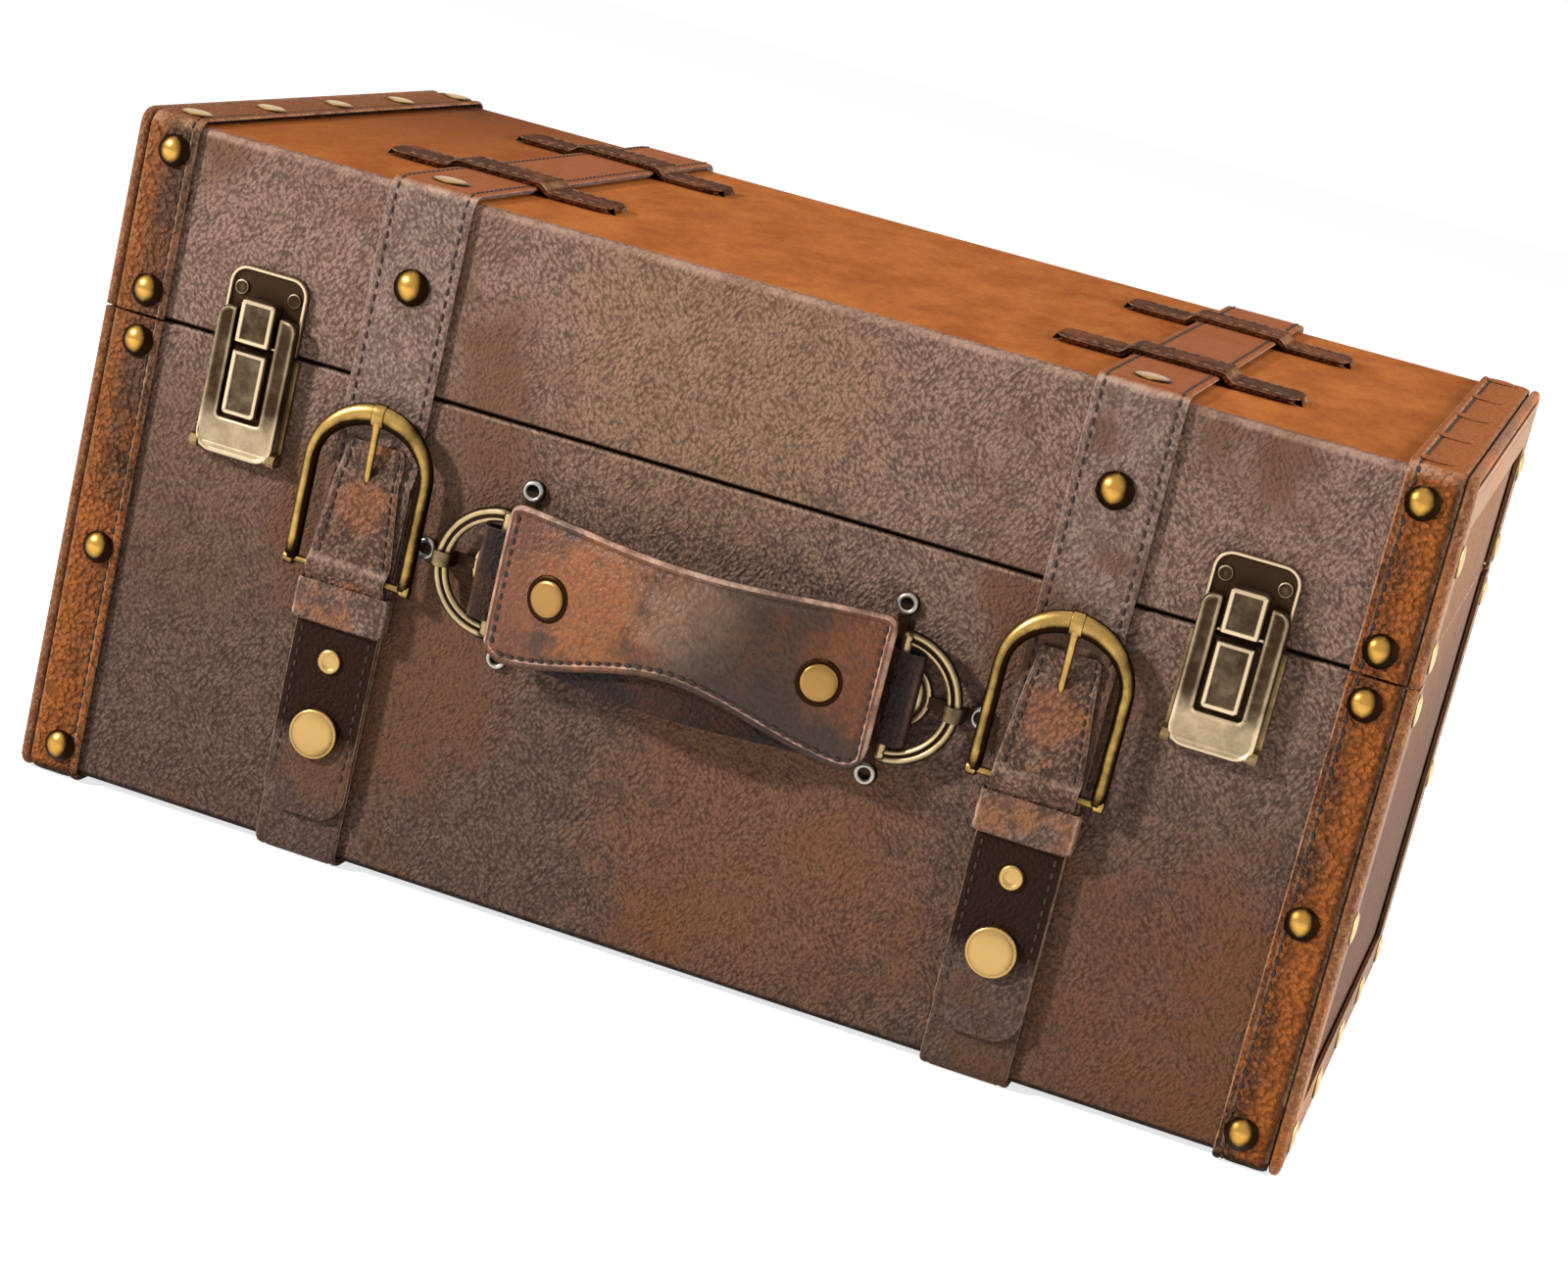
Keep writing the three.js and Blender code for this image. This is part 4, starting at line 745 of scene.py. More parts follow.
def make_bands(front_leathers, side_leather, bead_leather, dark_thread):
    for word, side in sides_of_case:
        inner = half_width - band_width
        columns = [(side * (inner + x * mm), lift * mm) for x, lift in band_profile]
        for body, rim, edge_z in (("lid", lid_rim, case_top), ("base", base_rim, case_bottom)):
            replaced = [f"{body}_band_{word}"]
            wrap_path = round_the_case(band_out, rim, rim, edge_z)
            strip = laid_strip(wrap_path, columns)
            make_piece(f"{body}_band_wrap_{word}", strip, body, "band_leather",
                       front_leathers[word], replaced, wall=band_thickness,
                       rounding=band_rounding)
            frame_strip = band_side_frame(side, rim, edge_z)
            make_piece(f"{body}_band_frame_{word}", frame_strip, body, "band_leather",
                       side_leather, replaced, rounding=frame_rounding)
            path = round_the_case(bead_out, rim, rim, edge_z)
            across = Vector((side, 0, 0))
            corner = across * (half_width + bead_out)
            frames = [(point + corner, across, way) for point, way in path]
            bead = sweep(frames, circle(bead_sides, bead_radius))
            make_piece(f"{body}_band_bead_{word}", bead, body, "band_leather", bead_leather,
                       replaced)
            seam_x = Vector((side * (inner + band_seam_place), 0, 0))
            seam = [point + seam_x - way * band_seam_depth for point, way in wrap_path]
            rows = stitches(seam, [way for point, way in wrap_path])
            sign = 1 if body == "lid" else -1
            near, far = front_y + frame_seam_inset, back_y - frame_seam_inset
            seam_end = edge_z - sign * frame_seam_inset
            level = [Vector((side * (half_width + band_out), y, z)) for y, z in
                     [(near, z) for z in evenly(rim, seam_end, path_step)]
                     + [(y, seam_end) for y in evenly(near, far, path_step)]
                     + [(far, z) for z in evenly(seam_end, rim, path_step)]]
            rows = joined([rows, stitches(level, [across] * len(level), radius=fine_thread_radius)])
            make_piece(f"{body}_band_stitching_{word}", rows, body, "band_leather", dark_thread,
                       replaced)


# The band leathers take painted light from above on faces that look up, and painted shade on faces
# that look down.
band_leather = leather(
    "Band leather", body="#4f3122", pale="#94684b", valley="#21120b", rubbed="#a55d2e",
    edge="#b98a68", patch=18 * mm, patch_share=(0.46, 0.6), pebble=1.5 * mm, pebble_share=0.4,
    spots=spots_at(front_y, band_spots), strips=band_strips,
    upper="#864a22", gloss=0.08, roughness=0.65, downward_shade=0.9)
right_band_leather = leather(
    "Right band leather", body="#563524", pale="#9c6c4a", valley="#241309", rubbed="#a55d2e",
    edge="#c99c7c", patch=18 * mm, patch_share=(0.42, 0.56), pebble=1.5 * mm, pebble_share=0.42,
    strips=right_band_strips_and_groove_shade,
    upper="#a3591f", gloss=0.08, roughness=0.65, downward_shade=0.9)
band_side_leather = leather(
    "Band leather on the ends", body="#7b5a44", pale="#b08766", valley="#6a4936", rubbed="#a66e3c",
    edge="#c9a080", contrast=0.3, patch=70 * mm, paler_up_heights=end_band_paler_heights, depth=0.1 * mm,
    upper="#a3591f")
bead_leather = leather(
    "Rolled bead", body="#7b4a2c", pale="#b98359", valley="#3f2618", rubbed="#b0642c",
    edge="#c09876", wear_and_highlight=(0, -1), contrast=0.5)
dark_thread = thread("Dark linen thread", "#2c1a14")
make_bands({"left": band_leather, "right": right_band_leather}, band_side_leather, bead_leather,
           dark_thread)

# The nails: pressed brass domes on iron pins, driven through the bands and straps into the wood.
# Their crowns are rubbed bright and the rims are dark with polish; their tops carry painted light
# and their left and right flanks painted shade.
nail_radius = 4.5 * mm
nail_height = 2.4 * mm
nail_inset = 10 * mm
nail_side_inset = 8 * mm
nail_top_drop = 7.7 * mm
nail_side_top_drop = 20.8 * mm
nail_seam_offset = 7 * mm
nail_mid_rise = 65.6 * mm
nail_bottom_rise = 7.7 * mm
nail_row_count = 5
# Turned shapes, from the middle of the crown to the rim: share of the radius, of the height, rub
nail_profile = [(0, 1, 0.85), (0.3, 0.96, 0.8), (0.58, 0.8, 0.6), (0.8, 0.52, 0.3),
                (0.93, 0.25, 0), (1, 0.16, 0), (1, 0.08, 0), (0.97, 0, 0)]
flat_nail_profile = [(0, 1, 0.9), (0.4, 0.93, 0.85), (0.7, 0.75, 0.8), (0.9, 0.45, 0.6),
                     (1, 0.15, 0.4), (0.98, 0, 0.2)]
flat_nail_height = 0.9 * mm
sunk_nail_height = 0.4 * mm
nail_steps = 20
painted_top_light_share = 0.3
painted_right_shade_share = 0.8
painted_left_shade_share = 0.3
rub_layer_name = "rub"
pitting_scale = 1.2 / mm
pitting_depth = 0.04 * mm
dullest_rise = 0.25
cloud_share = 0.7


def turned(profile, radius, height, place, outward, steps=nail_steps):
    """A shape turned from a profile of radius, height and rub, set on a place facing outward."""
    bm = bmesh.new()
    rub = bm.verts.layers.float.new(rub_layer_name)
    verts = []
    for r, h, share in profile:
        vertex = bm.verts.new((r * radius, 0, h * height))
        vertex[rub] = share
        verts.append(vertex)
    edges = [bm.edges.new(pair) for pair in zip(verts, verts[1:])]
    bmesh.ops.spin(bm, geom=verts + edges, cent=(0, 0, 0), axis=(0, 0, 1), angle=2 * math.pi,
                   steps=steps, use_merge=True)
    bmesh.ops.remove_doubles(bm, verts=bm.verts, dist=least_gap)
    bmesh.ops.recalc_face_normals(bm, faces=bm.faces)
    turn = outward.to_track_quat("Z", "Y").to_matrix().to_4x4()
    bmesh.ops.transform(bm, matrix=Matrix.Translation(place) @ turn, verts=bm.verts)
    bm.normal_update()
    # Painted light where the piece looks up, and painted shade on its left and right flanks, go into
    # its rub.
    for vertex in bm.verts:
        flank = vertex.normal - outward * vertex.normal.dot(outward)
        vertex[rub] += (painted_top_light_share * flank.z - painted_right_shade_share * max(0, flank.x)
                        - painted_left_shade_share * max(0, -flank.x))
    return bm


def rubbed(bm, amount):
    """Marks how much each point of a metal piece is rubbed, from its place and its way out."""
    rub = bm.verts.layers.float.get(rub_layer_name) or bm.verts.layers.float.new(rub_layer_name)
    bm.normal_update()
    for vertex in bm.verts:
        vertex[rub] = amount(vertex.co, vertex.normal)
    return bm


def rubbed_and_lit_by_way(bm, least, front=0, top=0):
    """Rubs a metal piece most where it faces the front, and marks painted light on it where it looks
    up.
    """
    return rubbed(bm, lambda co, n: least + front * max(0, -n.y) + top * max(0, n.z))


def metal(name, bright, dark, rub_low=0.1, rub_high=0.8, roughness=0.32, blotch=9 * mm):
    """Cast or pressed metal with old polish left in the hollows, bright where it is rubbed and where
    its piece carries painted light.
    """
    material, tree = new_material(name)
    place = add_node(tree, "TexCoord")
    rub = add_node(tree, "Attribute", attribute_name=rub_layer_name)
    cloud = add_node(tree, "TexNoise", {"Vector": place.outputs["Object"], "Scale": 1 / blotch,
                                        "Detail": 5, "Roughness": 0.7})
    uneven = add_node(tree, "Math", {0: cloud, 1: cloud_share, 2: rub.outputs["Fac"]},
                      operation="MULTIPLY_ADD")
    shown = add_node(tree, "MapRange", {"Value": uneven, "From Min": rub_low + cloud_share / 2,
                                        "From Max": rub_high + cloud_share / 2},
                     interpolation_type="SMOOTHSTEP")
    colour = add_node(tree, "MixRGB", {"Fac": shown, "Color1": srgb(dark), "Color2": srgb(bright)})
    fine = add_node(tree, "TexNoise", {"Vector": place.outputs["Object"], "Scale": pitting_scale,
                                       "Detail": 2})
    bump = add_node(tree, "Bump", {"Height": fine, "Distance": pitting_depth, "Strength": 0.5})
    dull = add_node(tree, "MapRange", {"Value": shown, "To Min": roughness + dullest_rise,
                                       "To Max": roughness})
    cast = add_node(tree, "BsdfPrincipled", {"Base Color": colour, "Metallic": 1, "Roughness": dull,
                                             "Normal": bump})
    add_node(tree, "OutputMaterial", {"Surface": cast})
    return material


def make_nails(brass, highlit_brass, cover_leather):
    row = evenly(front_y + nail_side_inset, back_y - nail_side_inset,
                 (back_y - front_y - 2 * nail_side_inset) / (nail_row_count - 1))
    bottom_row = case_bottom + nail_bottom_rise
    middle_row = case_bottom + nail_mid_rise
    heights = {
        "lid": ([case_top - nail_top_drop, seam_z + nail_seam_offset],
                [case_top - nail_side_top_drop, seam_z + nail_seam_offset]),
        "base": ([seam_z - nail_seam_offset, middle_row, bottom_row],
                 [seam_z - nail_seam_offset, middle_row])}
    for word, side in sides_of_case:
        face_x = side * (half_width - nail_inset)
        side_x = side * (half_width + band_out)
        outward = Vector((side, 0, 0))
        for body, (face_rows, side_rows) in heights.items():
            places = []
            for z in face_rows:
                places.append((Vector((face_x, front_y - band_out, z)), forward))
                places.append((Vector((face_x, back_y + band_out, z)), backward))
            for z in side_rows:
                places.append((Vector((side_x, front_y + nail_side_inset, z)), outward))
                places.append((Vector((side_x, back_y - nail_side_inset, z)), outward))
            for y in row:
                if body == "lid":
                    places.append((Vector((face_x, y, case_top + band_out)), upward))
                else:
                    places.append((Vector((side_x, y, bottom_row)), outward))
            front = []
            ends = []
            covered = []
            for place, way in places:
                spot = place + way * skin_gap
                if way.y:
                    front.append(turned(nail_profile, nail_radius, nail_height, spot, way))
                elif way.z and side > 0:
                    covered.append(turned(flat_nail_profile, nail_radius, sunk_nail_height, spot,
                                          way))
                else:
                    ends.append(turned(flat_nail_profile, nail_radius, flat_nail_height, spot,
                                       way))
            for kind, heads, slot, material in (
                    ("nails", front, "antique_brass", brass),
                    ("flat_nails", ends, "antique_brass", highlit_brass),
                    ("covered_nails", covered, "band_leather", cover_leather)):
                if heads:
                    make_piece(f"{body}_{kind}_{word}", joined(heads), body, slot, material,
                               [f"{body}_band_{word}"])


nail_brass = metal("Rubbed brass nails", bright="#bb8d42", dark="#1e1006", rub_low=0.15,
                   roughness=0.24)
# A paler copy of the nail brass for the flat nails on the ends: a painted highlight.
highlit_nail_brass = metal("Highlit brass nails", bright="#cba96c", dark="#4a2f18")
make_nails(nail_brass, highlit_nail_brass, right_band_leather)

# The straps: harness leather, one length over the lid that hangs down the front as the flap, and
# one round the base under it. Both edges are creased and stitched, and where a strap looks up it is
# tan like the lid: painted light from above.
strap_low, strap_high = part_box("base_strap_right")
flap_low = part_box("flap_right")[0]
buckle_low, buckle_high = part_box("buckle_right")
cap_low, cap_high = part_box("snap_cap_right")
keeper_low, keeper_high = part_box("flap_keeper_right")
cap_z = (cap_low.z + cap_high.z) / 2
strap_x = (strap_low.x + strap_high.x) / 2
strap_half_width = (strap_high.x - strap_low.x) / 2
strap_thickness = 1.8 * mm
strap_out = skin_gap + strap_thickness
flap_out = strap_out * 2
flap_tip_z = flap_low.z
flap_tip_radius = 8 * mm
flap_tip_turn = math.radians(74)
heel_rise_from_foot = 1.6 * mm
flap_bend_rise = 25.2 * mm
flap_bend_length = 6 * mm
flap_bend_step = 1 * mm
strap_end_drop = 1.5 * mm
strap_rounding = 0.2 * mm
heel_z = buckle_low.z + heel_rise_from_foot
flap_bend_bottom = heel_z + flap_bend_rise
flap_bend_top = flap_bend_bottom + flap_bend_length
strap_front_end = flap_bend_bottom - strap_end_drop
# The strap's place across, as a share of its half width, and its lift in mm
strap_profile = [(-1, -0.35), (-0.97, -0.05), (-0.88, 0.1), (-0.84, -0.1), (-0.8, -0.1),
                 (-0.76, 0.1), (-0.4, 0.12), (0, 0.12), (0.4, 0.12), (0.76, 0.1), (0.8, -0.1),
                 (0.84, -0.1), (0.88, 0.1), (0.97, -0.05), (1, -0.35)]
strap_seam_share = 0.82
strap_paler_heights = (90 * mm, 135 * mm)
# The colour of the painted shade on the flap below the keeper
flap_shade_colour = "#26140d"
strap_nail_radius = 5 * mm
strap_nail_height = 2.8 * mm
strap_nail_drop = 25.5 * mm
strap_nail_setback = 10 * mm


def flap_front_path(start_z):
    """Down the front: on the case to the bend, out over the base strap, then down to the tip."""
    path = []
    for z in evenly(start_z, flap_bend_top, path_step)[:-1]:
        path.append((Vector((0, front_y - strap_out, z)), forward))
    for z in evenly(flap_bend_top, flap_bend_bottom, flap_bend_step):
        share = smooth((flap_bend_top - z) / (flap_bend_top - flap_bend_bottom))
        out = strap_out + (flap_out - strap_out) * share
        path.append((Vector((0, front_y - out, z)), forward))
    low = flap_tip_z + flap_tip_radius
    for z in evenly(flap_bend_bottom, low, path_step)[1:]:
        path.append((Vector((0, front_y - flap_out, z)), forward))
    for k in range(1, turn_steps + 1):
        z = low - flap_tip_radius * math.sin(flap_tip_turn * k / turn_steps)
        path.append((Vector((0, front_y - flap_out, z)), forward))
    return path


def narrow_to_tip(bm, centre_x):
    """Brings the sides in near the flap's tip, along the round of its corners, and flattens it."""
    low = flap_tip_z + flap_tip_radius
    flat = strap_half_width - flap_tip_radius
    for vertex in bm.verts:
        if vertex.co.y < 0 and vertex.co.z < low:
            drop = (low - vertex.co.z) / flap_tip_radius
            half = flat + flap_tip_radius * math.sqrt(max(0, 1 - drop * drop))
            vertex.co.x = centre_x + (vertex.co.x - centre_x) * half / strap_half_width
            lift = front_y - flap_out - vertex.co.y
            vertex.co.y += lift * drop * drop


def make_straps(leather_skin, dark_thread, brass):
    for word, side in sides_of_case:
        x = side * strap_x
        columns = [(x + share * strap_half_width, lift * mm) for share, lift in strap_profile]
        over = round_the_case(strap_out, flap_bend_top, lid_rim, case_top)
        start_z = case_top - case_edge
        over = [(point, way) for point, way in over if point.z >= start_z - weld_gap
                or point.y > 0]
        path = list(reversed(flap_front_path(start_z)[1:])) + over
        strip = laid_strip(path, columns)
        narrow_to_tip(strip, x)
        replaced = [f"lid_strap_{word}", f"flap_{word}"]
        strap = make_piece(f"strap_and_flap_{word}", strip, None, "strap_leather", leather_skin,
                           replaced, wall=strap_thickness, rounding=strap_rounding, even=False)
        remember_rest(strap)
        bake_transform(strap)
        rows = []
        for edge in (-1, 1):
            shift = Vector((x + edge * strap_seam_share * strap_half_width, 0, 0))
            kept = [(point, way) for point, way in path if point.y > 0
                    or point.z > flap_tip_z + flap_tip_radius]
            rows.append(stitches([p + shift for p, way in kept], [way for p, way in kept]))
        sewn = make_piece(f"strap_and_flap_stitching_{word}", joined(rows), None, "strap_leather",
                          dark_thread, replaced)
        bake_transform(sewn)

        under = round_the_case(strap_out, strap_front_end, base_rim, case_bottom)
        lower = laid_strip(under, columns)
        lower_strap = make_piece(f"base_strap_{word}_leather", lower, "base", "strap_leather",
                                 leather_skin, [f"base_strap_{word}"], wall=strap_thickness,
                                 rounding=strap_rounding)
        remember_rest(lower_strap)
        front = Vector((x, front_y - strap_out, case_top - strap_nail_drop))
        top = Vector((x, front_y + strap_nail_setback, case_top + strap_out))
        nails = joined([turned(nail_profile, strap_nail_radius, strap_nail_height,
                               front + forward * skin_gap, forward),
                        turned(flat_nail_profile, strap_nail_radius, flat_nail_height,
                               top + upward * skin_gap, upward)])
        make_piece(f"strap_nails_{word}", nails, "lid", "antique_brass", brass,
                   [f"lid_strap_{word}"])


# Where the strap looks up it takes painted light from above. Its raw side edges are dark with dye
# and painted shade, and the flap holds a band of painted shade from the keeper down to the snap cap.
strap_leather = leather(
    "Strap leather", body="#4d3a32", pale="#a5877a", valley="#281812", rubbed="#6f4d3a",
    edge="#c9a68f", patch=28 * mm, wear_and_highlight=(0.93, 0.75), upper="#9f5420", dark_cut_edge_and_shade="#0a0605",
    gloss=0.06, roughness=0.7,
    shade_band=(cap_z, keeper_low.z, front_y - strap_out - shade_band_edge, flap_shade_colour),
    paler_up_heights=strap_paler_heights, kept=True)
make_straps(strap_leather, dark_thread, nail_brass)

# The cross loops: short strips of the strap leather, sewn to the lid at both ends and arched over
# each strap. A row of pale stitches runs along the far edge.
loop_half_length = 33 * mm
loop_half_width = 9.5 * mm
loop_thickness = 1.6 * mm
loop_ramp = 3.4 * mm
loop_end_radius = 4 * mm
loop_front_setback = 53 * mm
loop_rear_setback = 51 * mm
loop_step = 1.1 * mm
loop_end_steps = 5
loop_seam_share = 0.78
loop_seam_lift = 0.02 * mm
loop_profile = [(-1, -0.3), (-0.96, 0), (-0.85, 0.15), (-0.78, -0.05), (-0.7, 0.1), (0, 0.15),
                (0.7, 0.1), (0.78, -0.05), (0.85, 0.15), (0.96, 0), (1, -0.3)]


def make_cross_loops(leather_skin, pale_thread):
    crest = strap_half_width + skin_gap
    low = case_top + skin_gap + loop_thickness
    for word, side in sides_of_case:
        for place, y in (("front", front_y + loop_front_setback),
                         ("rear", back_y - loop_rear_setback)):
            path = []
            for x in evenly(-loop_half_length, loop_half_length, loop_step):
                share = smooth((crest + loop_ramp - abs(x)) / loop_ramp)
                path.append(Vector((side * strap_x + x, y, low + strap_out * share)))

            def on_loop(column, row):
                width, lift = loop_profile[row]
                from_end = loop_half_length - abs(path[column].x - side * strap_x)
                short = max(0, min(1, 1 - from_end / loop_end_radius))
                half = loop_half_width - loop_end_radius * (1 - math.sqrt(1 - short * short))
                return path[column] + Vector((0, width * half, lift * mm))

            bm = sheet(len(path), len(loop_profile), on_loop)
            replaced = [f"lid_loop_{place}_{word}"]
            make_piece(f"cross_loop_{place}_{word}", bm, "lid", "strap_leather", leather_skin,
                       replaced, wall=loop_thickness, rounding=strap_rounding)
            rows = []
            for edge in (-1, 1):
                shift = Vector((0, edge * loop_half_width * loop_seam_share, loop_seam_lift))
                inner = [point + shift for point in path[loop_end_steps:-loop_end_steps]]
                rows.append(stitches(inner, [upward] * len(inner)))
            make_piece(f"cross_loop_stitching_{place}_{word}", joined(rows), "lid",
                       "strap_leather", pale_thread, replaced)


# The loops' raw front and back edges are near-black: dye and painted shade.
loop_leather = leather(
    "Loop leather", body="#402314", pale="#7a5036", valley="#1d0f09", rubbed="#80492a",
    edge="#b98a64", patch=24 * mm, wear_and_highlight=(0.93, 0.75), dark_cut_edge_and_shade="#080504", cut_axis="Y", gloss=0.05,
    roughness=0.75)
pale_thread = thread("Pale linen thread", "#7e5a3f")
make_cross_loops(loop_leather, pale_thread)

# The flap's fittings: a stitched tongue that folds round the buckle's heel bar, a keeper loop sewn
# round the flap, a brass eyelet and a brass snap cap.
tongue_thickness = 1.2 * mm
tongue_half_width = 11.5 * mm
tongue_shoulder = 8.75 * mm
tongue_top_half = 7.5 * mm
tongue_tuck = 0.5 * mm
tongue_full_rise = 4.9 * mm
tongue_top_rise = 4.4 * mm
tongue_step = 1.2 * mm
tongue_gap = 0.1 * mm
tongue_pitch = 3 * mm
tongue_bottom_z = keeper_low.z - tongue_tuck
tongue_full_z = heel_z + tongue_full_rise
tongue_top_z = flap_bend_top + tongue_top_rise
tongue_shoulder_drop = 6.6 * mm
heel_radius = 1.1 * mm
heel_out = flap_out + skin_gap + heel_radius
heel_rise = 2.4 * mm
heel_fold_half = 4.6 * mm
tongue_profile = [(-1, -0.3), (-0.97, 0), (-0.9, 0.15), (-0.84, -0.15), (-0.77, -0.15), (-0.7, 0.1),
                  (-0.3, 0.2), (0, 0.2), (0.3, 0.2), (0.7, 0.1), (0.77, -0.15), (0.84, -0.15),
                  (0.9, 0.15), (0.97, 0), (1, -0.3)]
tongue_seam_share = 0.805
prong_spots = [(side * strap_x / mm, -5, 10, "#a0603c", 0.6) for side in (-1, 1)]
buckle_top = buckle_high.z
prong_reach = 22.8 * mm
prong_hole_z = buckle_top - prong_reach
keeper_height = keeper_high.z - keeper_low.z
keeper_thickness = 1.1 * mm
keeper_radius = 2.2 * mm
keeper_lift = 1.3 * mm
keeper_step = 1 * mm
keeper_rounding = 0.15 * mm
# The keeper's share of its height and its lift in mm
keeper_profile = [(0, -0.25), (0.06, 0), (0.16, 0.15), (0.24, 0), (0.5, 0.2), (0.76, 0),
                  (0.84, 0.15), (0.94, 0), (1, -0.25)]
cap_radius = 7 * mm
cap_height = 2.6 * mm
cap_profile = [(0, 0.98, 0.95), (0.3, 0.97, 0.95), (0.6, 0.92, 0.9), (0.8, 0.82, 0.75),
               (0.86, 0.76, 0.5), (0.9, 0.76, 0.75), (0.95, 0.74, 1), (0.99, 0.6, 0.8),
               (1, 0.35, 0.3), (0.97, 0, 0)]
cap_steps = 32
eyelet_rise = 20.3 * mm
eyelet_z = cap_z + eyelet_rise
eyelet_radius = 3.6 * mm
eyelet_height = 0.8 * mm
eyelet_profile = [(0, 0.55, 1), (0.3, 0.5, 1), (0.5, 0.45, 0.9), (0.6, 0.85, 1), (0.75, 1, 1),
                  (0.92, 0.7, 0.4), (1, 0.1, 0), (0.98, -0.2, 0)]


def tongue_half_at(z):
    shoulder_z = tongue_top_z - tongue_shoulder_drop
    if z < tongue_full_z:
        return tongue_half_width
    if z < shoulder_z:
        share = (z - tongue_full_z) / (shoulder_z - tongue_full_z)
        return tongue_half_width + (tongue_shoulder - tongue_half_width) * share
    share = (z - shoulder_z) / tongue_shoulder_drop
    round_share = 1 - math.sqrt(max(0, 1 - share * share))
    return tongue_shoulder + (tongue_top_half - tongue_shoulder) * round_share


def tongue_out_at(z):
    bend = smooth((flap_bend_top - z) / (flap_bend_top - flap_bend_bottom))
    out = strap_out + strap_out * bend + tongue_thickness + tongue_gap
    fold = math.cos(math.pi / 2 * min(1, abs(z - heel_z) / heel_fold_half))
    return out + heel_rise * fold * fold


def make_tongues(leather_skin, dark_thread, keeper_leather, brass):
    for word, side in sides_of_case:
        body = f"flap_{word}_body"
        x = side * strap_x
        path = [(Vector((0, front_y - tongue_out_at(z), z)), forward)
                for z in evenly(tongue_top_z, tongue_bottom_z, tongue_step)]
        bm = laid_strip(path, [(share, lift * mm) for share, lift in tongue_profile])
        for vertex in bm.verts:
            vertex.co.x = x + vertex.co.x * tongue_half_at(vertex.co.z)
        make_piece(f"tongue_{word}", bm, body, "strap_leather", leather_skin, [f"flap_{word}"],
                   wall=tongue_thickness, rounding=strap_rounding)
        rows = []
        for edge in (-1, 1):
            seam = [point + Vector((x + edge * tongue_seam_share * tongue_half_at(point.z), 0, 0))
                    for point, way in path if point.z > heel_z + heel_fold_half]
            rows.append(stitches(seam, [forward] * len(seam), pitch=tongue_pitch))
        make_piece(f"tongue_stitching_{word}", joined(rows), body, "strap_leather", dark_thread,
                   [f"flap_{word}"])

        inner = strap_half_width + skin_gap
        outer = inner + keeper_thickness
        back = strap_out + skin_gap
        top = flap_out + keeper_lift + skin_gap + keeper_thickness
        turn_u = outer - keeper_radius
        turn_out = top - keeper_radius
        loop = [(-outer, out, -1, 0) for out in evenly(back, turn_out, keeper_step)]
        loop += [(-turn_u - keeper_radius * c, turn_out + keeper_radius * s, -c, s)
                 for c, s in quarter]
        loop += [(u, top, 0, 1) for u in evenly(-turn_u, turn_u, 2 * keeper_step)]
        loop += [(turn_u + keeper_radius * s, turn_out + keeper_radius * c, s, c)
                 for c, s in quarter]
        loop += [(outer, out, 1, 0) for out in evenly(turn_out, back, keeper_step)]

        def on_keeper(column, row):
            u, out, way_x, way_out = loop[column]
            share, lift = keeper_profile[row]
            return Vector((x + u + way_x * lift * mm, front_y - out - way_out * lift * mm,
                           keeper_low.z + share * keeper_height))

        bm = sheet(len(loop), len(keeper_profile), on_keeper)
        make_piece(f"keeper_{word}", bm, body, "strap_leather", keeper_leather,
                   [f"flap_keeper_{word}"], wall=keeper_thickness,
                   rounding=keeper_rounding)
        cap = turned(cap_profile, cap_radius, cap_height,
                     Vector((x, front_y - flap_out - skin_gap, cap_z)), forward, cap_steps)
        make_piece(f"cap_{word}", cap, body, "antique_brass", brass, [f"snap_cap_{word}"])
        ring = turned(eyelet_profile, eyelet_radius, eyelet_height,
                      Vector((x, front_y - flap_out - skin_gap, eyelet_z)), forward, cap_steps)
        make_piece(f"eyelet_{word}", ring, body, "antique_brass", brass, [f"flap_{word}"])


# The tongue's raw side edges are dark: dye and painted shade.
tongue_leather = leather(
    "Tongue leather", body="#4f382c", pale="#9c7966", valley="#24150f", rubbed="#a0683f",
    edge="#dcb9a2", patch=10 * mm, patch_share=(0.54, 0.68), wear_and_highlight=(0.9, 0.7), dark_cut_edge_and_shade="#1b110c",
    wrinkle=0.9 * mm, contrast=0.7,
    spots=spots_at(front_y - flap_out, prong_spots, prong_hole_z))
keeper_leather = leather(
    "Keeper leather", body="#5b4338", pale="#a3877a", valley="#2f201b", rubbed="#9a6440",
    edge="#cfab95", patch=12 * mm, patch_share=(0.52, 0.7), wear_and_highlight=(0.93, 0.75))
cap_brass = metal("Snap cap brass", bright="#b18f58", dark="#352010")
make_tongues(tongue_leather, dark_thread, keeper_leather, cap_brass)

# The buckles: cast brass, an arch on two rails with inward feet on a heel bar, and a prong that
# hooks over the arch. Painted light brightens them along the top, and painted shade darkens their
# right and inner sides.
buckle_half = 18.5 * mm
buckle_rail = 3.9 * mm
buckle_arch = 6.2 * mm
buckle_depth = 3.8 * mm
arch_steps = 28
buckle_sides = 14
hoop_least_share = 0.15
hoop_front_share = 0.6
hoop_top_light_share = 0.3
hoop_right_shade_share = 0.3
hoop_inner_shade_share = 0.7
prong_half = 1.05 * mm
prong_half_depth = 0.8 * mm
collar_wall = 0.25 * mm
collar_half = 1.8 * mm
collar_sides = 16
rail_step = 5 * mm
buckle_middle_drop = 6 * mm
bar_end_inset = 1 * mm
bar_sides = 10
# A foot's distance from the rail in mm and its size, then the prong's share of its length, its
# width and its lift in mm
foot_profile = [(0, 0.5), (0.4, 1), (2.4, 1), (3.2, 0.7)]
prong_profile = [(0, 0.45, -0.9), (0.04, 0.8, -0.5), (0.12, 0.95, -0.1), (0.4, 1, 0.3),
                 (0.75, 1, 0.6), (0.9, 1.2, 1), (1, 1.3, 1.2)]


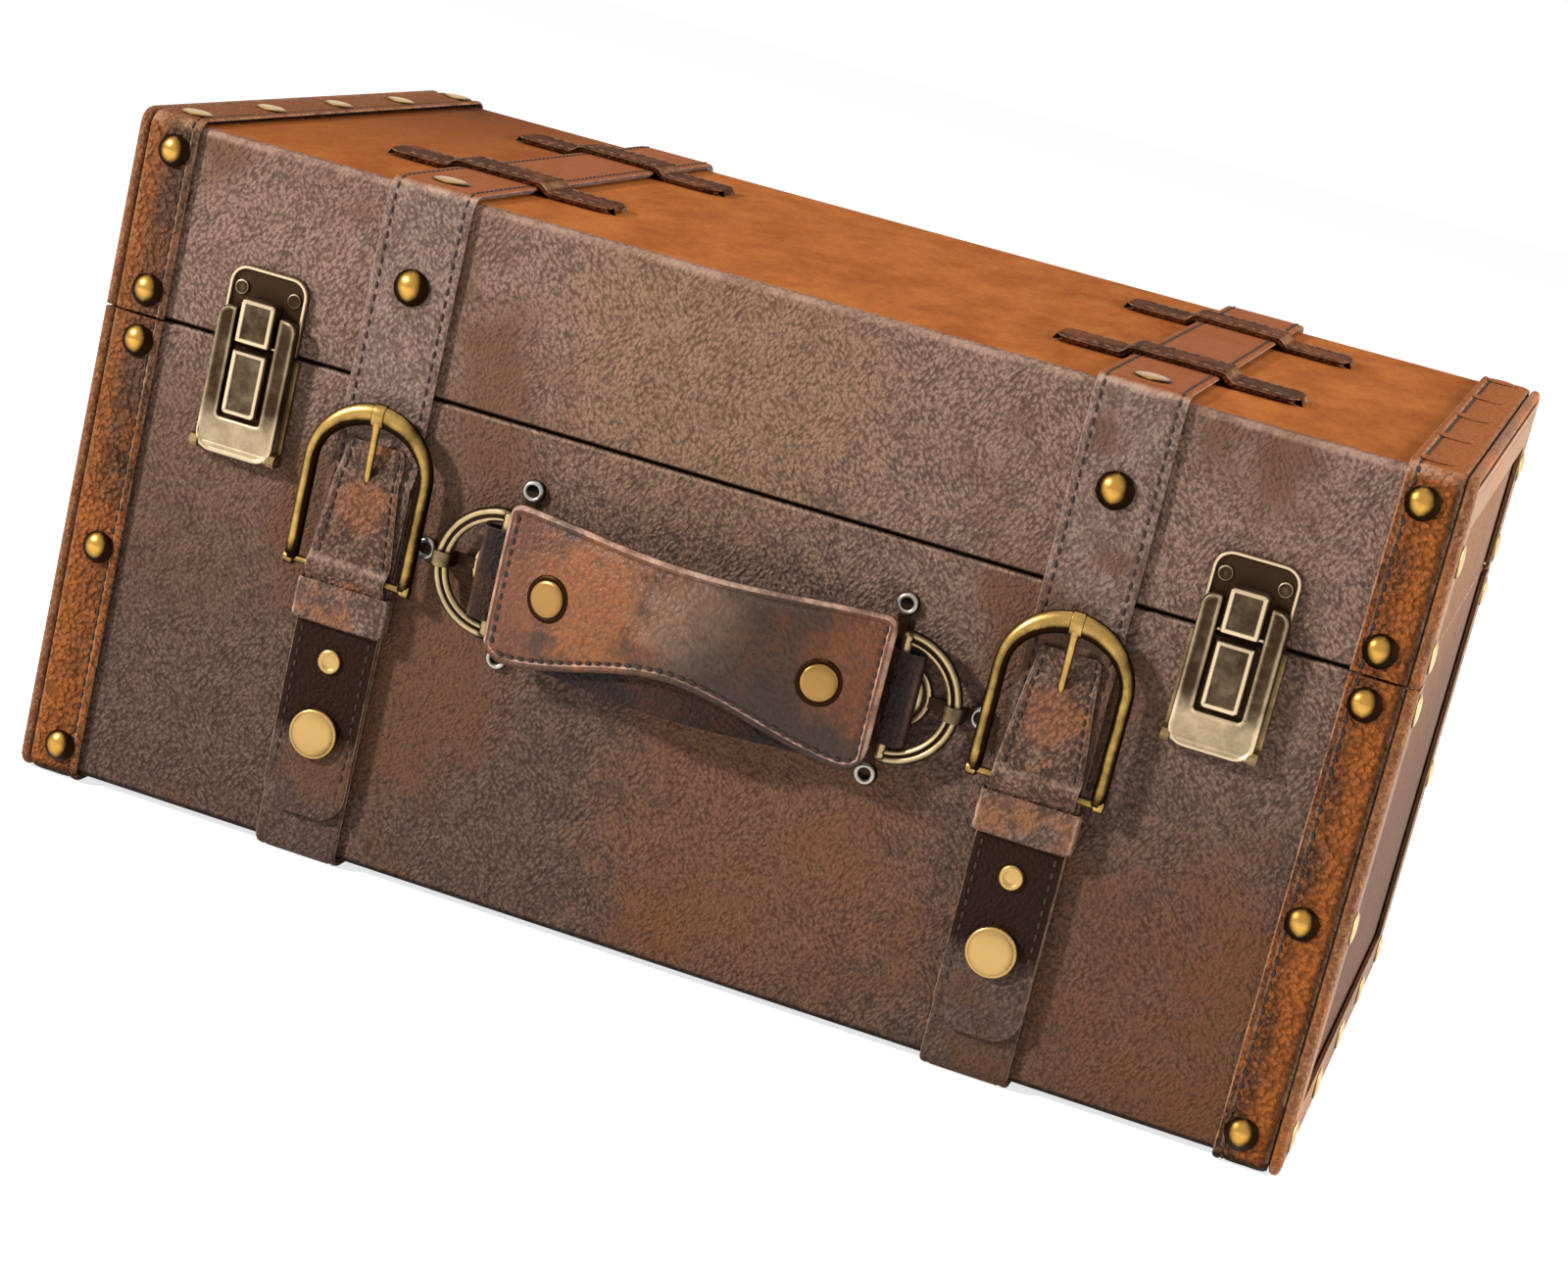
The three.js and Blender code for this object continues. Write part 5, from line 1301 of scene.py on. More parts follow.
def make_buckles(brass):
    arch_z = buckle_top - buckle_half
    section = circle(buckle_sides, 1)
    for word, side in sides_of_case:
        centre = Vector((side * strap_x, front_y - heel_out, 0))
        frames = []
        rails = evenly(heel_z, arch_z, rail_step)
        edges = [((-buckle_half, z), (buckle_rail - buckle_half, z)) for z in rails]
        for k in range(1, arch_steps):
            a = math.pi * (1 - k / arch_steps)
            outer = (buckle_half * math.cos(a), arch_z + buckle_half * math.sin(a))
            inner = ((buckle_half - buckle_rail) * math.cos(a),
                     arch_z + (buckle_half - buckle_arch) * math.sin(a))
            edges.append((outer, inner))
        edges += [((buckle_half, z), (buckle_half - buckle_rail, z)) for z in reversed(rails)]
        for outer, inner in edges:
            a = Vector((outer[0], 0, outer[1]))
            b = Vector((inner[0], 0, inner[1]))
            frames.append((centre + (a + b) / 2, (a - b) / 2, forward * buckle_depth / 2))
        hoop = sweep(frames, section)
        middle = centre + Vector((0, 0, arch_z - buckle_middle_drop))
        # Rubbed bright where the hoop faces the front; painted light on its top, painted shade on
        # its right side and on its inner side.
        rubbed(hoop, lambda co, n: hoop_least_share + hoop_front_share * max(0, -n.y)
               + hoop_top_light_share * n.z - hoop_right_shade_share * max(0, n.x)
               - hoop_inner_shade_share * max(0, n.dot((middle - co).normalized())))
        bar_half = buckle_half - bar_end_inset
        bar = sweep([(centre + Vector((u, 0, heel_z)), upward, forward)
                     for u in (-bar_half, bar_half)], circle(bar_sides, heel_radius))
        feet = [sweep([(centre + Vector((end * (buckle_half - u * mm), 0, heel_z)),
                        upward * size, forward * size) for u, size in foot_profile],
                      circle(bar_sides, buckle_depth / 2)) for end in (-1, 1)]
        tip_z = prong_hole_z + prong_half
        root_z = buckle_top - buckle_arch / 2
        prong = sweep([(centre + Vector((0, -lift * mm, tip_z + (root_z - tip_z) * share)),
                        Vector((prong_half * width, 0, 0)), forward * prong_half_depth)
                       for share, width, lift in prong_profile], section)
        collar = sweep([(centre + Vector((collar_half * u, 0, root_z)),
                         upward * (buckle_arch / 2 + size), forward * (buckle_depth / 2 + size))
                        for u, size in ((-1, 0), (-0.8, collar_wall), (0.8, collar_wall), (1, 0))],
                       circle(collar_sides, 1))
        for part in [bar, prong, collar, *feet]:
            rubbed_and_lit_by_way(part, least=0.1, front=0.7, top=0.3)
        frame_parts = joined([hoop, bar, *feet])
        make_piece(f"buckle_frame_{word}", frame_parts, f"buckle_{word}_body", "antique_brass",
                   brass, [f"buckle_{word}"])
        make_piece(f"buckle_prong_{word}", joined([prong, collar]), f"buckle_{word}_body",
                   "antique_brass", brass, [f"buckle_{word}"])


buckle_brass = metal("Buckle brass", bright="#c8a05a", dark="#1c0e05", rub_low=0.38,
                     rub_high=1.05, roughness=0.22)
make_buckles(buckle_brass)

# The latches: stamped bronze with a brass wash. The strike plate has a raised rim, two screws and
# a catch block, and the lever is a bevelled bezel round a second block.
latch_low, latch_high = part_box("latch_base_right")
latch_x = (latch_low.x + latch_high.x) / 2
stamped_rounding = 0.12 * mm
strike_rise = 0.5 * mm
catch_top_radius = 1.4 * mm
catch_low_radius = 0.7 * mm
catch_rise = 0.7 * mm
catch_well = 0.45 * mm
catch_sink = 1 * mm
bezel_top_radius = 3.4 * mm
bezel_rise = 1 * mm
bezel_trim = 1.4 * mm
bezel_cuts = (-2.2 * mm, 0.5 * mm, 5 * mm)
bezel_least_share = 0.1
bezel_crest_share = 0.6
bezel_crest_depth = 0.7 * mm
bezel_low_highlight_share = 0.4
bezel_bright_rise = 3 * mm
bezel_bright_fade = 5 * mm
window_top_radius = 0.6 * mm
window_low_radius = 1 * mm
web_overlap = 0.2 * mm
web_rise = 0.9 * mm
web_thickness = 0.8 * mm
lever_block_gap = 0.4 * mm
lever_block_rise = 0.1 * mm
lever_block_thickness = 2.7 * mm
lever_block_well = 0.35 * mm
lever_block_crest = 0.8 * mm
barrel_half = 9.9 * mm
barrel_trim = 0.2 * mm
barrel_sides = 16
well_share = 0.2
latch_half = 11.4 * mm
latch_plate = 1.2 * mm
strike_top = 21.1 * mm
strike_corner = 5 * mm
strike_screw_x = 7.7 * mm
strike_screw_z = 14.9 * mm
latch_screw_radius = 2.1 * mm
latch_screw_height = 0.7 * mm
catch_half = 5 * mm
catch_low = 1 * mm
catch_high = 13.1 * mm
catch_depth = 5 * mm
lever_low = 28 * mm
lever_top = 10.2 * mm
lever_thickness = 3.4 * mm
lever_window_half = 6.1 * mm
lever_window_low = 19.7 * mm
lever_block_height = 18.2 * mm
lever_out = latch_plate + 2 * skin_gap
knuckle_radius = 2 * mm
bezel_corner = 5 * mm
seam_half = 0.4 * mm
least_round = 0.05 * mm
# Steps of stamped plates, each in from the edge and out
strike_steps = [(0.3 * mm, 0.5 * mm), (0.6 * mm, 0), (0.4 * mm, -1 * mm)]
block_steps = [(0.4 * mm, 0.6 * mm), (0.8 * mm, 0.1 * mm), (0.35 * mm, -0.45 * mm)]
bezel_steps = [(0.3 * mm, 0.7 * mm), (0.5 * mm, 0.2 * mm), (0.4 * mm, -0.3 * mm),
               (0.4 * mm, -0.2 * mm)]
screw_profile = [(0, 0.75, 0.2), (0.5, 0.8, 0.1), (0.7, 0.9, 0), (0.85, 1, 0.5), (0.97, 0.8, 0.4),
                 (1, 0.3, 0.2), (1, 0, 0)]


def rounded_outline(corners, steps=6):
    """The points of an outline of (x, z, radius) corners, each with its round."""
    points = []
    for k, (x, z, radius) in enumerate(corners):
        here = Vector((x, z))
        before = Vector(corners[k - 1][:2]) - here
        after = Vector(corners[(k + 1) % len(corners)][:2]) - here
        if not radius:
            points.append(here)
            continue
        before.normalize()
        after.normalize()
        half = before.angle(after) / 2
        reach = radius / math.tan(half)
        centre = here + (before + after).normalized() * (radius / math.sin(half))
        start = here + before * reach - centre
        end = here + after * reach - centre
        sweep_angle = start.angle_signed(end)
        for j in range(steps + 1):
            a = -sweep_angle * j / steps
            turned_point = Vector((start.x * math.cos(a) - start.y * math.sin(a),
                                   start.x * math.sin(a) + start.y * math.cos(a)))
            points.append(centre + turned_point)
    return points


def moved_in(corners, inset):
    """The corners of an outline moved in by a distance, with the same number of points in each."""
    moved = []
    for k, (x, z, radius) in enumerate(corners):
        here = Vector((x, z))
        before = (here - Vector(corners[k - 1][:2])).normalized()
        after = (Vector(corners[(k + 1) % len(corners)][:2]) - here).normalized()
        inward = Vector((-before.y - after.y, before.x + after.x)) * inset
        outer_turn = before.x * after.y - before.y * after.x > 0
        round_by = radius - inset if outer_turn else radius + inset
        moved.append((x + inward.x, z + inward.y, max(round_by, least_round)))
    return moved


def stepped_plate(corners, x, out, z, steps, thickness):
    """A stamped plate that faces forward: each step goes in from the edge and out by a rise."""
    levels = [(0, -thickness), (0, 0)]
    for inset, rise in steps:
        levels.append((levels[-1][0] + inset, levels[-1][1] + rise))
    bm = bmesh.new()
    rings = []
    for inset, rise in levels:
        outline = rounded_outline(moved_in(corners, inset))
        rings.append([bm.verts.new((x + p.x, front_y - out - rise, z + p.y)) for p in outline])
    bm.faces.new(rings[0])
    bm.faces.new(rings[-1])
    for lower, upper in zip(rings, rings[1:]):
        for k in range(len(lower)):
            bm.faces.new((lower[k - 1], lower[k], upper[k], upper[k - 1]))
    bmesh.ops.recalc_face_normals(bm, faces=bm.faces)
    return bm


def box_corners(half, low, high, radius=0, low_radius=0):
    return [(-half, low, low_radius), (half, low, low_radius), (half, high, radius),
            (-half, high, radius)]


def height_rub(bm, floor_out, crest_out, floor_share=0):
    """Rubs a stamped plate bright along its raised rims and leaves the polish in its wells."""
    def amount(co, n):
        share = (front_y - co.y - floor_out) / (crest_out - floor_out)
        return floor_share + (1 - floor_share) * max(0, min(1, share))
    return rubbed(bm, amount)


def make_latches(bronze):
    for word, side in sides_of_case:
        x = side * latch_x
        plate_out = skin_gap + latch_plate
        strike = stepped_plate(box_corners(latch_half, seam_half, strike_top, strike_corner), x,
                               plate_out, seam_z, strike_steps, latch_plate)
        height_rub(strike, plate_out - strike_rise, plate_out + strike_rise)
        catch_out = plate_out + catch_depth
        catch = stepped_plate(box_corners(catch_half, catch_low, catch_high, catch_top_radius,
                                          catch_low_radius),
                              x, catch_out - catch_rise, seam_z, block_steps,
                              catch_depth - catch_sink)
        height_rub(catch, catch_out - catch_well, catch_out, well_share)
        screw_y = front_y - plate_out + strike_rise
        screws = [turned(screw_profile, latch_screw_radius, latch_screw_height,
                         Vector((x + u, screw_y, seam_z + strike_screw_z)), forward)
                  for u in (-strike_screw_x, strike_screw_x)]
        make_piece(f"strike_plate_{word}", joined([strike, catch, *screws]), "lid",
                   "aged_bronze", bronze, [f"latch_strike_{word}"], rounding=stamped_rounding)

        front_out = skin_gap + lever_out + lever_thickness
        top = lever_top
        inner = lever_window_half
        foot = lever_low + knuckle_radius
        corners = [(-latch_half, -foot, bezel_corner), (latch_half, -foot, bezel_corner),
                   (latch_half, top, bezel_top_radius), (inner, top, window_top_radius),
                   (inner, -lever_window_low, window_low_radius),
                   (-inner, -lever_window_low, window_low_radius),
                   (-inner, top, window_top_radius), (-latch_half, top, bezel_top_radius)]
        bezel = stepped_plate(corners, x, front_out - bezel_rise, seam_z, bezel_steps,
                              lever_thickness - bezel_trim)
        window_z = seam_z - lever_window_low
        for above in bezel_cuts:
            whole = bezel.verts[:] + bezel.edges[:] + bezel.faces[:]
            bmesh.ops.bisect_plane(bezel, geom=whole, plane_co=(0, 0, window_z + above),
                                   plane_no=upward)
        # The bezel's crest is rubbed bright, and its lower part below the window gets a painted
        # highlight.
        rubbed(bezel, lambda co, n: bezel_least_share
               + bezel_crest_share * smooth((front_y - co.y - front_out + bezel_crest_depth)
                                            / bezel_rise)
               + bezel_low_highlight_share * smooth((window_z + bezel_bright_rise - co.z)
                                          / bezel_bright_fade))
        web = stepped_plate(box_corners(inner + web_overlap, -lever_window_low, -seam_half), x,
                            skin_gap + lever_out + web_rise, seam_z, [], web_thickness)
        # The web in the gap round the block is dark all over: painted shade in the gap.
        rubbed_and_lit_by_way(web, least=-0.3)
        block_low = -seam_half - lever_block_height
        block_high = -seam_half - lever_block_gap
        block = stepped_plate(box_corners(catch_half, block_low, block_high, catch_low_radius,
                                          catch_top_radius),
                              x, front_out + lever_block_rise, seam_z, block_steps,
                              lever_block_thickness)
        height_rub(block, front_out + lever_block_well, front_out + lever_block_crest, well_share)
        barrel_radius = lever_thickness / 2 - barrel_trim
        barrel_out = skin_gap + lever_out + barrel_radius
        barrel_z = seam_z - lever_low
        barrel = sweep([(Vector((x + u, front_y - barrel_out, barrel_z)), upward, forward)
                        for u in (-barrel_half, barrel_half)], circle(barrel_sides, barrel_radius))
        rubbed_and_lit_by_way(barrel, least=0.3, front=0.4)
        make_piece(f"lever_{word}", joined([bezel, web, block, barrel]), f"lever_{word}_body",
                   "aged_bronze", bronze, [f"latch_lever_{word}"], rounding=stamped_rounding)


latch_bronze = metal("Latch bronze", bright="#c9b290", dark="#37271a", rub_low=0.05, rub_high=0.95)
make_latches(latch_bronze)

# The handle: a leather pad over a dark strap whose ends are loops round the bars of two D-rings.
# The pad's edge is raised and stitched, and flat brass rivets go through both layers.
pad_low, pad_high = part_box("handle_pad")
handle_z = (pad_low.z + pad_high.z) / 2
pad_half_length = pad_high.x
pad_half_height = (pad_high.z - pad_low.z) / 2
pad_thickness = 4 * mm
pad_near = 8.9 * mm
pad_top_dip = 1.6 * mm
pad_bottom_dip = 11 * mm
pad_dip_share = 0.95
pad_low_radius = 7 * mm
pad_top_radius = 3.5 * mm
pad_puff = 0.45 * mm
pad_sink = 0.5 * mm
pad_wall = 3.4 * mm
pad_step = 2.2 * mm
handle_rounding = 0.3 * mm
bow = 9 * mm
bow_half_length = 50 * mm
rivet_x = 37.5 * mm
rivet_head_radius = 5 * mm
# The dark ring under each rivet head is a painted shadow round the rivet.
rivet_shadow_ring_radius = 6.4 * mm
rivet_head_height = 1.5 * mm
rivet_lift = 0.35 * mm
rivet_head_profile = [(0, 0.8, 0.8), (0.5, 0.8, 0.85), (0.8, 0.75, 0.8), (0.95, 0.6, 1),
                      (1, 0.35, 0.8), (1, 0, 0.2), (0.6, -0.9, 0)]
rivet_shadow_ring_profile = [(0.74, 0.15, 0), (0.82, 0.35, 0.1), (0.92, 0.35, 0.1), (1, 0.1, 0),
                      (1, -0.4, 0)]
pad_thread_radius = 0.75 * mm
# The pad's distance in from its edge and its lift, in mm
border_steps = [(0, -0.9), (0.5, -0.1), (1.1, 0.25), (1.8, 0.15), (2.3, -0.35), (3.1, -0.35),
                (3.7, 0), (5.2, 0.1), (7.5, 0.2), (10, 0.5)]
pad_seam_inset = 2.7 * mm
pad_seam_sink = 0.75 * mm
pad_seam_end = 1.5 * mm
pad_seam_low_gap = 3 * mm
pad_seam_high_gap = 2 * mm
pad_seam_step = 1 * mm
pad_pitch = 3 * mm
grip_spot_depth = 5 * mm
# Spots on the grip: orange towards its ends, a grey painted highlight on the bowed middle and
# painted shade low on its right
grip_tone_and_light_spots = ((-56, 0, 30, "#7d4a30", 0.9), (-25, 2, 22, "#9c5a2a", 0.9),
              (3, 7, 20, "#8a6f5a", 0.8), (28, -8, 34, "#2b180e", 1),
              (50, 6, 22, "#7c4523", 0.9))
grip_step = 3 * mm
# The strap's share of its height and its lift in mm, then the loop's section in half sizes
grip_profile = [(0, -0.4), (0.04, -0.1), (0.1, 0), (0.3, 0), (0.5, 0), (0.7, 0), (0.9, 0),
                (0.96, -0.1), (1, -0.4)]
grip_loop_play = 0.5 * mm
grip_loop_turn = 15
grip_loop_section = [(-1, -1), (-1, 0.6), (-0.96, 1), (0.96, 1), (1, 0.6), (1, -1)]
grip_near = 5.4 * mm
grip_thickness = 3.2 * mm
grip_top = 15.3 * mm
grip_bottom = 20.8 * mm
loop_wall = 1.2 * mm
loop_half_height = 12.5 * mm
ring_bar_x = 55.5 * mm
ring_wire = 1.5 * mm
ring_bend_half = 2.1 * mm
ring_sides = 28
ring_bend_steps = 28
ring_bar_sides = 12
ring_bar_end_share = 0.7
bend_least_share = 0.1
bend_front_share = 0.75
bend_outer_share = 0.35
groove_dark_share = 0.9
ring_groove_share = 0.5
ring_groove_narrowness = 30
ring_groove_half = 0.45 * mm
ring_plate_thickness = 1 * mm
ring_boss_radius = 9 * mm
ring_boss_height = 1.6 * mm
ear_x = 52.1 * mm
outer_ear_x = 78 * mm
ear_half_span = 23.2 * mm
ear_radius = 3.2 * mm
ear_height = 1.7 * mm
plate_arm_half = 1.6 * mm
clip_slack = 0.4 * mm
clip_wall = 1 * mm
clip_half_width = 2 * mm
clip_steps = 8
plate_rounding = 0.15 * mm
boss_profile = [(0, 1, 1), (0.35, 0.97, 1), (0.6, 0.85, 0.9), (0.74, 0.55, 0.3), (0.79, 0.5, 0),
                (0.86, 0.65, 0.6), (0.95, 0.6, 0.8), (1, 0.35, 0.1), (1, 0, 0)]
ear_profile = [(0, 0.35, -0.6), (0.45, 0.4, -0.6), (0.55, 0.85, 0.8), (0.75, 1, 1),
               (0.95, 0.7, 0.6), (1, 0, 0)]
ring_slot_left = 53.5 * mm
ring_slot_right = 60.3 * mm
ring_post_x = 71.4 * mm
ring_bend = 15.9 * mm
ring_bar_half = 17.2 * mm


def bow_at(x):
    reach = min(abs(x), bow_half_length)
    return bow * (1 + math.cos(math.pi * reach / bow_half_length)) / 2


def pad_edges_at(x):
    """The pad's bottom and top edges at a place along it, with the rounds of its corners."""
    x = min(abs(x), pad_half_length)
    flat = pad_half_length - pad_top_radius
    top = pad_half_height - pad_top_dip * (1 - min(1, x / flat) ** 2)
    if x > flat:
        over = (x - flat) / pad_top_radius
        top -= pad_top_radius * (1 - math.sqrt(max(0, 1 - over * over)))
    flat = pad_half_length - pad_low_radius
    bottom = -pad_half_height + pad_bottom_dip * (1 - smooth(x / flat * pad_dip_share))
    if x > flat:
        over = (x - flat) / pad_low_radius
        bottom += pad_low_radius * (1 - math.sqrt(max(0, 1 - over * over)))
    return bottom, top


def lift_at(distance):
    """The border's height at a distance in from the pad's edge."""
    distance = distance / mm
    for (near, low), (far, high) in zip(border_steps, border_steps[1:]):
        if distance <= far:
            return (low + (high - low) * (distance - near) / (far - near)) * mm
    return border_steps[-1][1] * mm


def make_pad(leather_skin, dark_thread):
    depths = [d * mm for d, lift in border_steps]
    across = depths + evenly(depths[-1], 2 * pad_half_length - depths[-1], pad_step)[1:-1]
    across += [2 * pad_half_length - d for d in reversed(depths)]
    full = 2 * pad_half_height
    border = depths[-2]
    tall = depths[:-1] + evenly(border, full - border, pad_step)[1:-1]
    tall += [full - d for d in reversed(depths[:-1])]

    def on_pad_face(column, row):
        x = across[column] - pad_half_length
        v = tall[row]
        bottom, top = pad_edges_at(x)
        height = top - bottom
        from_edge = min(v, full - v)
        stretch = (height / 2 - border) / (full / 2 - border)
        drawn = from_edge if from_edge < border else border + (from_edge - border) * stretch
        z = bottom + drawn if v < full / 2 else top - drawn
        inset = min(from_edge, pad_half_length - abs(x))
        middle = 1 - (2 * (z - bottom) / height - 1) ** 2
        out = (pad_near + pad_thickness + bow_at(x) + lift_at(inset) - pad_sink
               + pad_puff * middle)
        return Vector((x, front_y - out, handle_z + z))

    bm = sheet(len(across), len(tall), on_pad_face)
    face_forward(bm)
    pad = make_piece("pad", bm, "handle", "grip_leather", leather_skin, ["handle_pad"],
                     wall=pad_wall, rounding=handle_rounding)
    seam_out = pad_near + pad_thickness - pad_seam_sink

    def on_seam(x, z):
        return Vector((x, front_y - seam_out - bow_at(x), handle_z + z))

    reach = pad_half_length - pad_seam_inset
    xs = evenly(-reach + pad_seam_end, reach - pad_seam_end, pad_seam_step)
    bottom_row = [on_seam(x, pad_edges_at(x)[0] + pad_seam_inset) for x in xs]
    low, high = pad_edges_at(reach)
    zs = evenly(low + pad_seam_low_gap, high - pad_seam_high_gap, pad_seam_step)
    seams = [bottom_row] + [[on_seam(end * reach, z) for z in zs] for end in (-1, 1)]
    rows = [stitches(seam, [forward] * len(seam), pitch=pad_pitch, radius=pad_thread_radius)
            for seam in seams]
    make_piece("pad_stitching", joined(rows), "handle", "grip_leather", dark_thread,
               ["handle_pad"])


def make_grip_strap(leather_skin):
    neck = ring_slot_left - loop_wall
    stops = evenly(-neck, neck, grip_step)

    def on_grip(column, row):
        x = stops[column]
        part, lift = grip_profile[row]
        share = smooth((neck - abs(x)) / loop_half_height)
        low = -loop_half_height + (loop_half_height - grip_bottom) * share
        high = loop_half_height + (grip_top - loop_half_height) * share
        out = grip_near + grip_thickness + bow_at(x) + lift * mm
        return Vector((x, front_y - out, handle_z + low + (high - low) * part))

    bm = sheet(len(stops), len(grip_profile), on_grip)
    face_forward(bm)
    make_piece("grip_strap", bm, "handle", "dark_leather", leather_skin, ["handle_strap"],
               wall=grip_thickness, rounding=handle_rounding)
    bar_room = ring_wire + grip_loop_play
    radius = bar_room + loop_wall / 2
    half_turn = range(90, -91, -grip_loop_turn)
    ring = [(ring_slot_right - bar_room, math.radians(a)) for a in half_turn]
    ring += [(ring_slot_left + bar_room, math.radians(a - 180)) for a in half_turn]
    for word, side in sides_of_case:
        frames = []
        for centre_x, angle in ring:
            way = Vector((side * math.cos(angle), -math.sin(angle), 0))
            place = Vector((side * centre_x, front_y - grip_near, handle_z)) + way * radius
            frames.append((place, upward * loop_half_height, way * loop_wall / 2))
        band = sweep(frames, grip_loop_section, closed=True)
        make_piece(f"grip_loop_{word}", band, "handle", "dark_leather", leather_skin,
                   ["handle_strap"], rounding=strap_rounding)


def make_rivets(brass):
    out = pad_near + pad_thickness + bow_at(rivet_x)
    for word, side in sides_of_case:
        lean = math.pi * bow / bow_half_length / 2 * math.sin(math.pi * rivet_x / bow_half_length)
        way = Vector((side * lean, -1, 0)).normalized()
        place = Vector((side * rivet_x, front_y - out, handle_z)) + way * rivet_lift
        parts = [turned(profile, radius, rivet_head_height, place, way, cap_steps)
                 for profile, radius in ((rivet_head_profile, rivet_head_radius),
                                         (rivet_shadow_ring_profile, rivet_shadow_ring_radius))]
        make_piece(f"rivet_{word}", joined(parts), "handle", "antique_brass", brass,
                   [f"handle_rivet_{word}"])


def make_rings(bronze):
    grooved = []
    for c, s in circle(ring_sides, 1):
        dent = 1 - ring_groove_share * max(0, s) ** ring_groove_narrowness
        grooved.append((c * ring_bend_half, s * ring_wire * dent))
    bar_half = ring_bar_half - bar_end_inset
    bar_stops = ((-ring_bar_half, ring_bar_end_share), (-bar_half, 1), (bar_half, 1),
                 (ring_bar_half, ring_bar_end_share))
    for word, side in sides_of_case:
        centre = Vector((side * ring_bar_x, front_y - grip_near, handle_z))
        frames = []
        for k in range(ring_bend_steps + 1):
            a = math.pi * (k / ring_bend_steps - 0.5)
            way = Vector((side * math.cos(a), 0, math.sin(a)))
            frames.append((centre + way * ring_bend, way, forward))
        bend = sweep(frames, grooved)
        bar = sweep([(centre + Vector((0, 0, z)), Vector((size, 0, 0)), forward * size)
                     for z, size in bar_stops], circle(ring_bar_sides, ring_wire))
        rubbed(bend, lambda co, n: bend_least_share + bend_front_share * max(0, -n.y)
               - (groove_dark_share if abs((co - centre).length - ring_bend) < ring_groove_half
                  else 0)
               - bend_outer_share * max(0, n.dot((co - centre).normalized())))
        rubbed_and_lit_by_way(bar, least=0.2, front=0.5, top=0.3)
        make_piece(f"ring_{word}", joined([bend, bar]), f"ring_{word}_body", "aged_bronze",
                   bronze, [f"handle_ring_{word}"])


def make_ring_plates(bronze, silver):
    eye = ring_wire + clip_slack + clip_wall / 2
    plate_out = skin_gap + ring_plate_thickness
    for word, side in sides_of_case:
        replaced = [f"ring_plate_{word}"]

        def spot(x, out, z):
            return Vector((side * x, front_y - out, handle_z + z))

        boss = turned(boss_profile, ring_boss_radius, ring_boss_height,
                      spot(ring_bar_x, skin_gap, 0), forward, cap_steps)
        arms = []
        for low, high in (((ear_x, -ear_half_span), (ear_x, ear_half_span)),
                          ((ring_bar_x, 0), (outer_ear_x, 0))):
            along = spot(high[0], 0, high[1]) - spot(low[0], 0, low[1])
            across = along.normalized().cross(forward) * plate_arm_half
            ends = [spot(low[0], plate_out, low[1]), spot(high[0], plate_out, high[1])]
            outline = [ends[0] - across, ends[0] + across, ends[1] + across, ends[1] - across]
            arm = flat_plate(outline, 0, [], ring_plate_thickness)
            arms.append(rubbed_and_lit_by_way(arm, least=0.1))
        hoop = []
        for u, out, way_x, way_out in ([(-eye, plate_out, -1, 0)]
                                       + [(eye * math.cos(a), grip_near + eye * math.sin(a),
                                           math.cos(a), math.sin(a))
                                          for a in [math.pi * k / clip_steps
                                                    for k in range(clip_steps, -1, -1)]]
                                       + [(eye, plate_out, 1, 0)]):
            hoop.append((spot(ring_post_x + u, out, 0), Vector((0, 0, clip_half_width)),
                         Vector((side * way_x, -way_out, 0)) * clip_wall / 2))
        clip = sweep(hoop, [(-1, -1), (-1, 1), (1, 1), (1, -1)])
        rubbed_and_lit_by_way(clip, least=0.1, front=0.3)
        make_piece(f"ring_plate_{word}_bronze", joined([boss, clip, *arms]), "base",
                   "aged_bronze", bronze, replaced, rounding=plate_rounding)
        ears = joined([turned(ear_profile, ear_radius, ear_height, spot(x, skin_gap, z), forward)
                       for x, z in ((ear_x, ear_half_span), (ear_x, -ear_half_span),
                                    (outer_ear_x, 0))])
        make_piece(f"ring_plate_{word}_ears", ears, "base", "aged_bronze", silver, replaced)


grip_leather = leather(
    "Grip leather", body="#3f2a1c", pale="#6d4831", valley="#120a06", rubbed="#7a4726",
    edge="#d6ab94", patch=30 * mm, patch_share=(0.5, 0.64), wear_and_highlight=(0.95, 0.78), contrast=0.35,
    wrinkle=mm, depth=0.5 * mm, gloss=0.3, roughness=0.38,
    spots=spots_at(front_y - pad_near - grip_spot_depth, grip_tone_and_light_spots, handle_z))
under_leather = leather(
    "Under-strap leather", body="#1d130f", pale="#3a271f", valley="#0d0806", rubbed="#4a2a1a",
    edge="#6b4f41", wear_and_highlight=(0.93, 0.75))
make_pad(grip_leather, dark_thread)
make_grip_strap(under_leather)
rivet_brass = metal("Rivet brass", bright="#94703f", dark="#2a180c")
make_rivets(rivet_brass)
ring_bronze = metal("Ring bronze", bright="#bfa57a", dark="#1f150f", rub_low=0.2, rub_high=1)
make_rings(ring_bronze)
boss_brass = metal("Boss brass", bright="#cbb184", dark="#33241a")
ear_steel = metal("Ear steel", bright="#a39a90", dark="#1d1814", rub_low=-0.1)
make_ring_plates(boss_brass, ear_steel)

# What is inside and behind: plywood walls, a felt lining, and the steel and bronze of the hinges
# and pins. The wood is sawn and sanded birch, and the felt is pressed and glued flat.
disc_low, disc_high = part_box("snap_disc_right")
disc_radius = (disc_high.x - disc_low.x) / 2
disc_profile = [(0, 1, 1), (0.5, 0.95, 0.9), (0.8, 0.85, 0.7), (0.95, 0.6, 0.5), (1, 0, 0)]
disc_height = 0.22 * mm
wood_ring_scale = 0.12 / mm
wood_ring_depth = 0.1 * mm
felt_fibre_scale = 1 / mm
felt_cloud_scale = 0.03 / mm
felt_depth = 0.3 * mm
along_share = 0.06


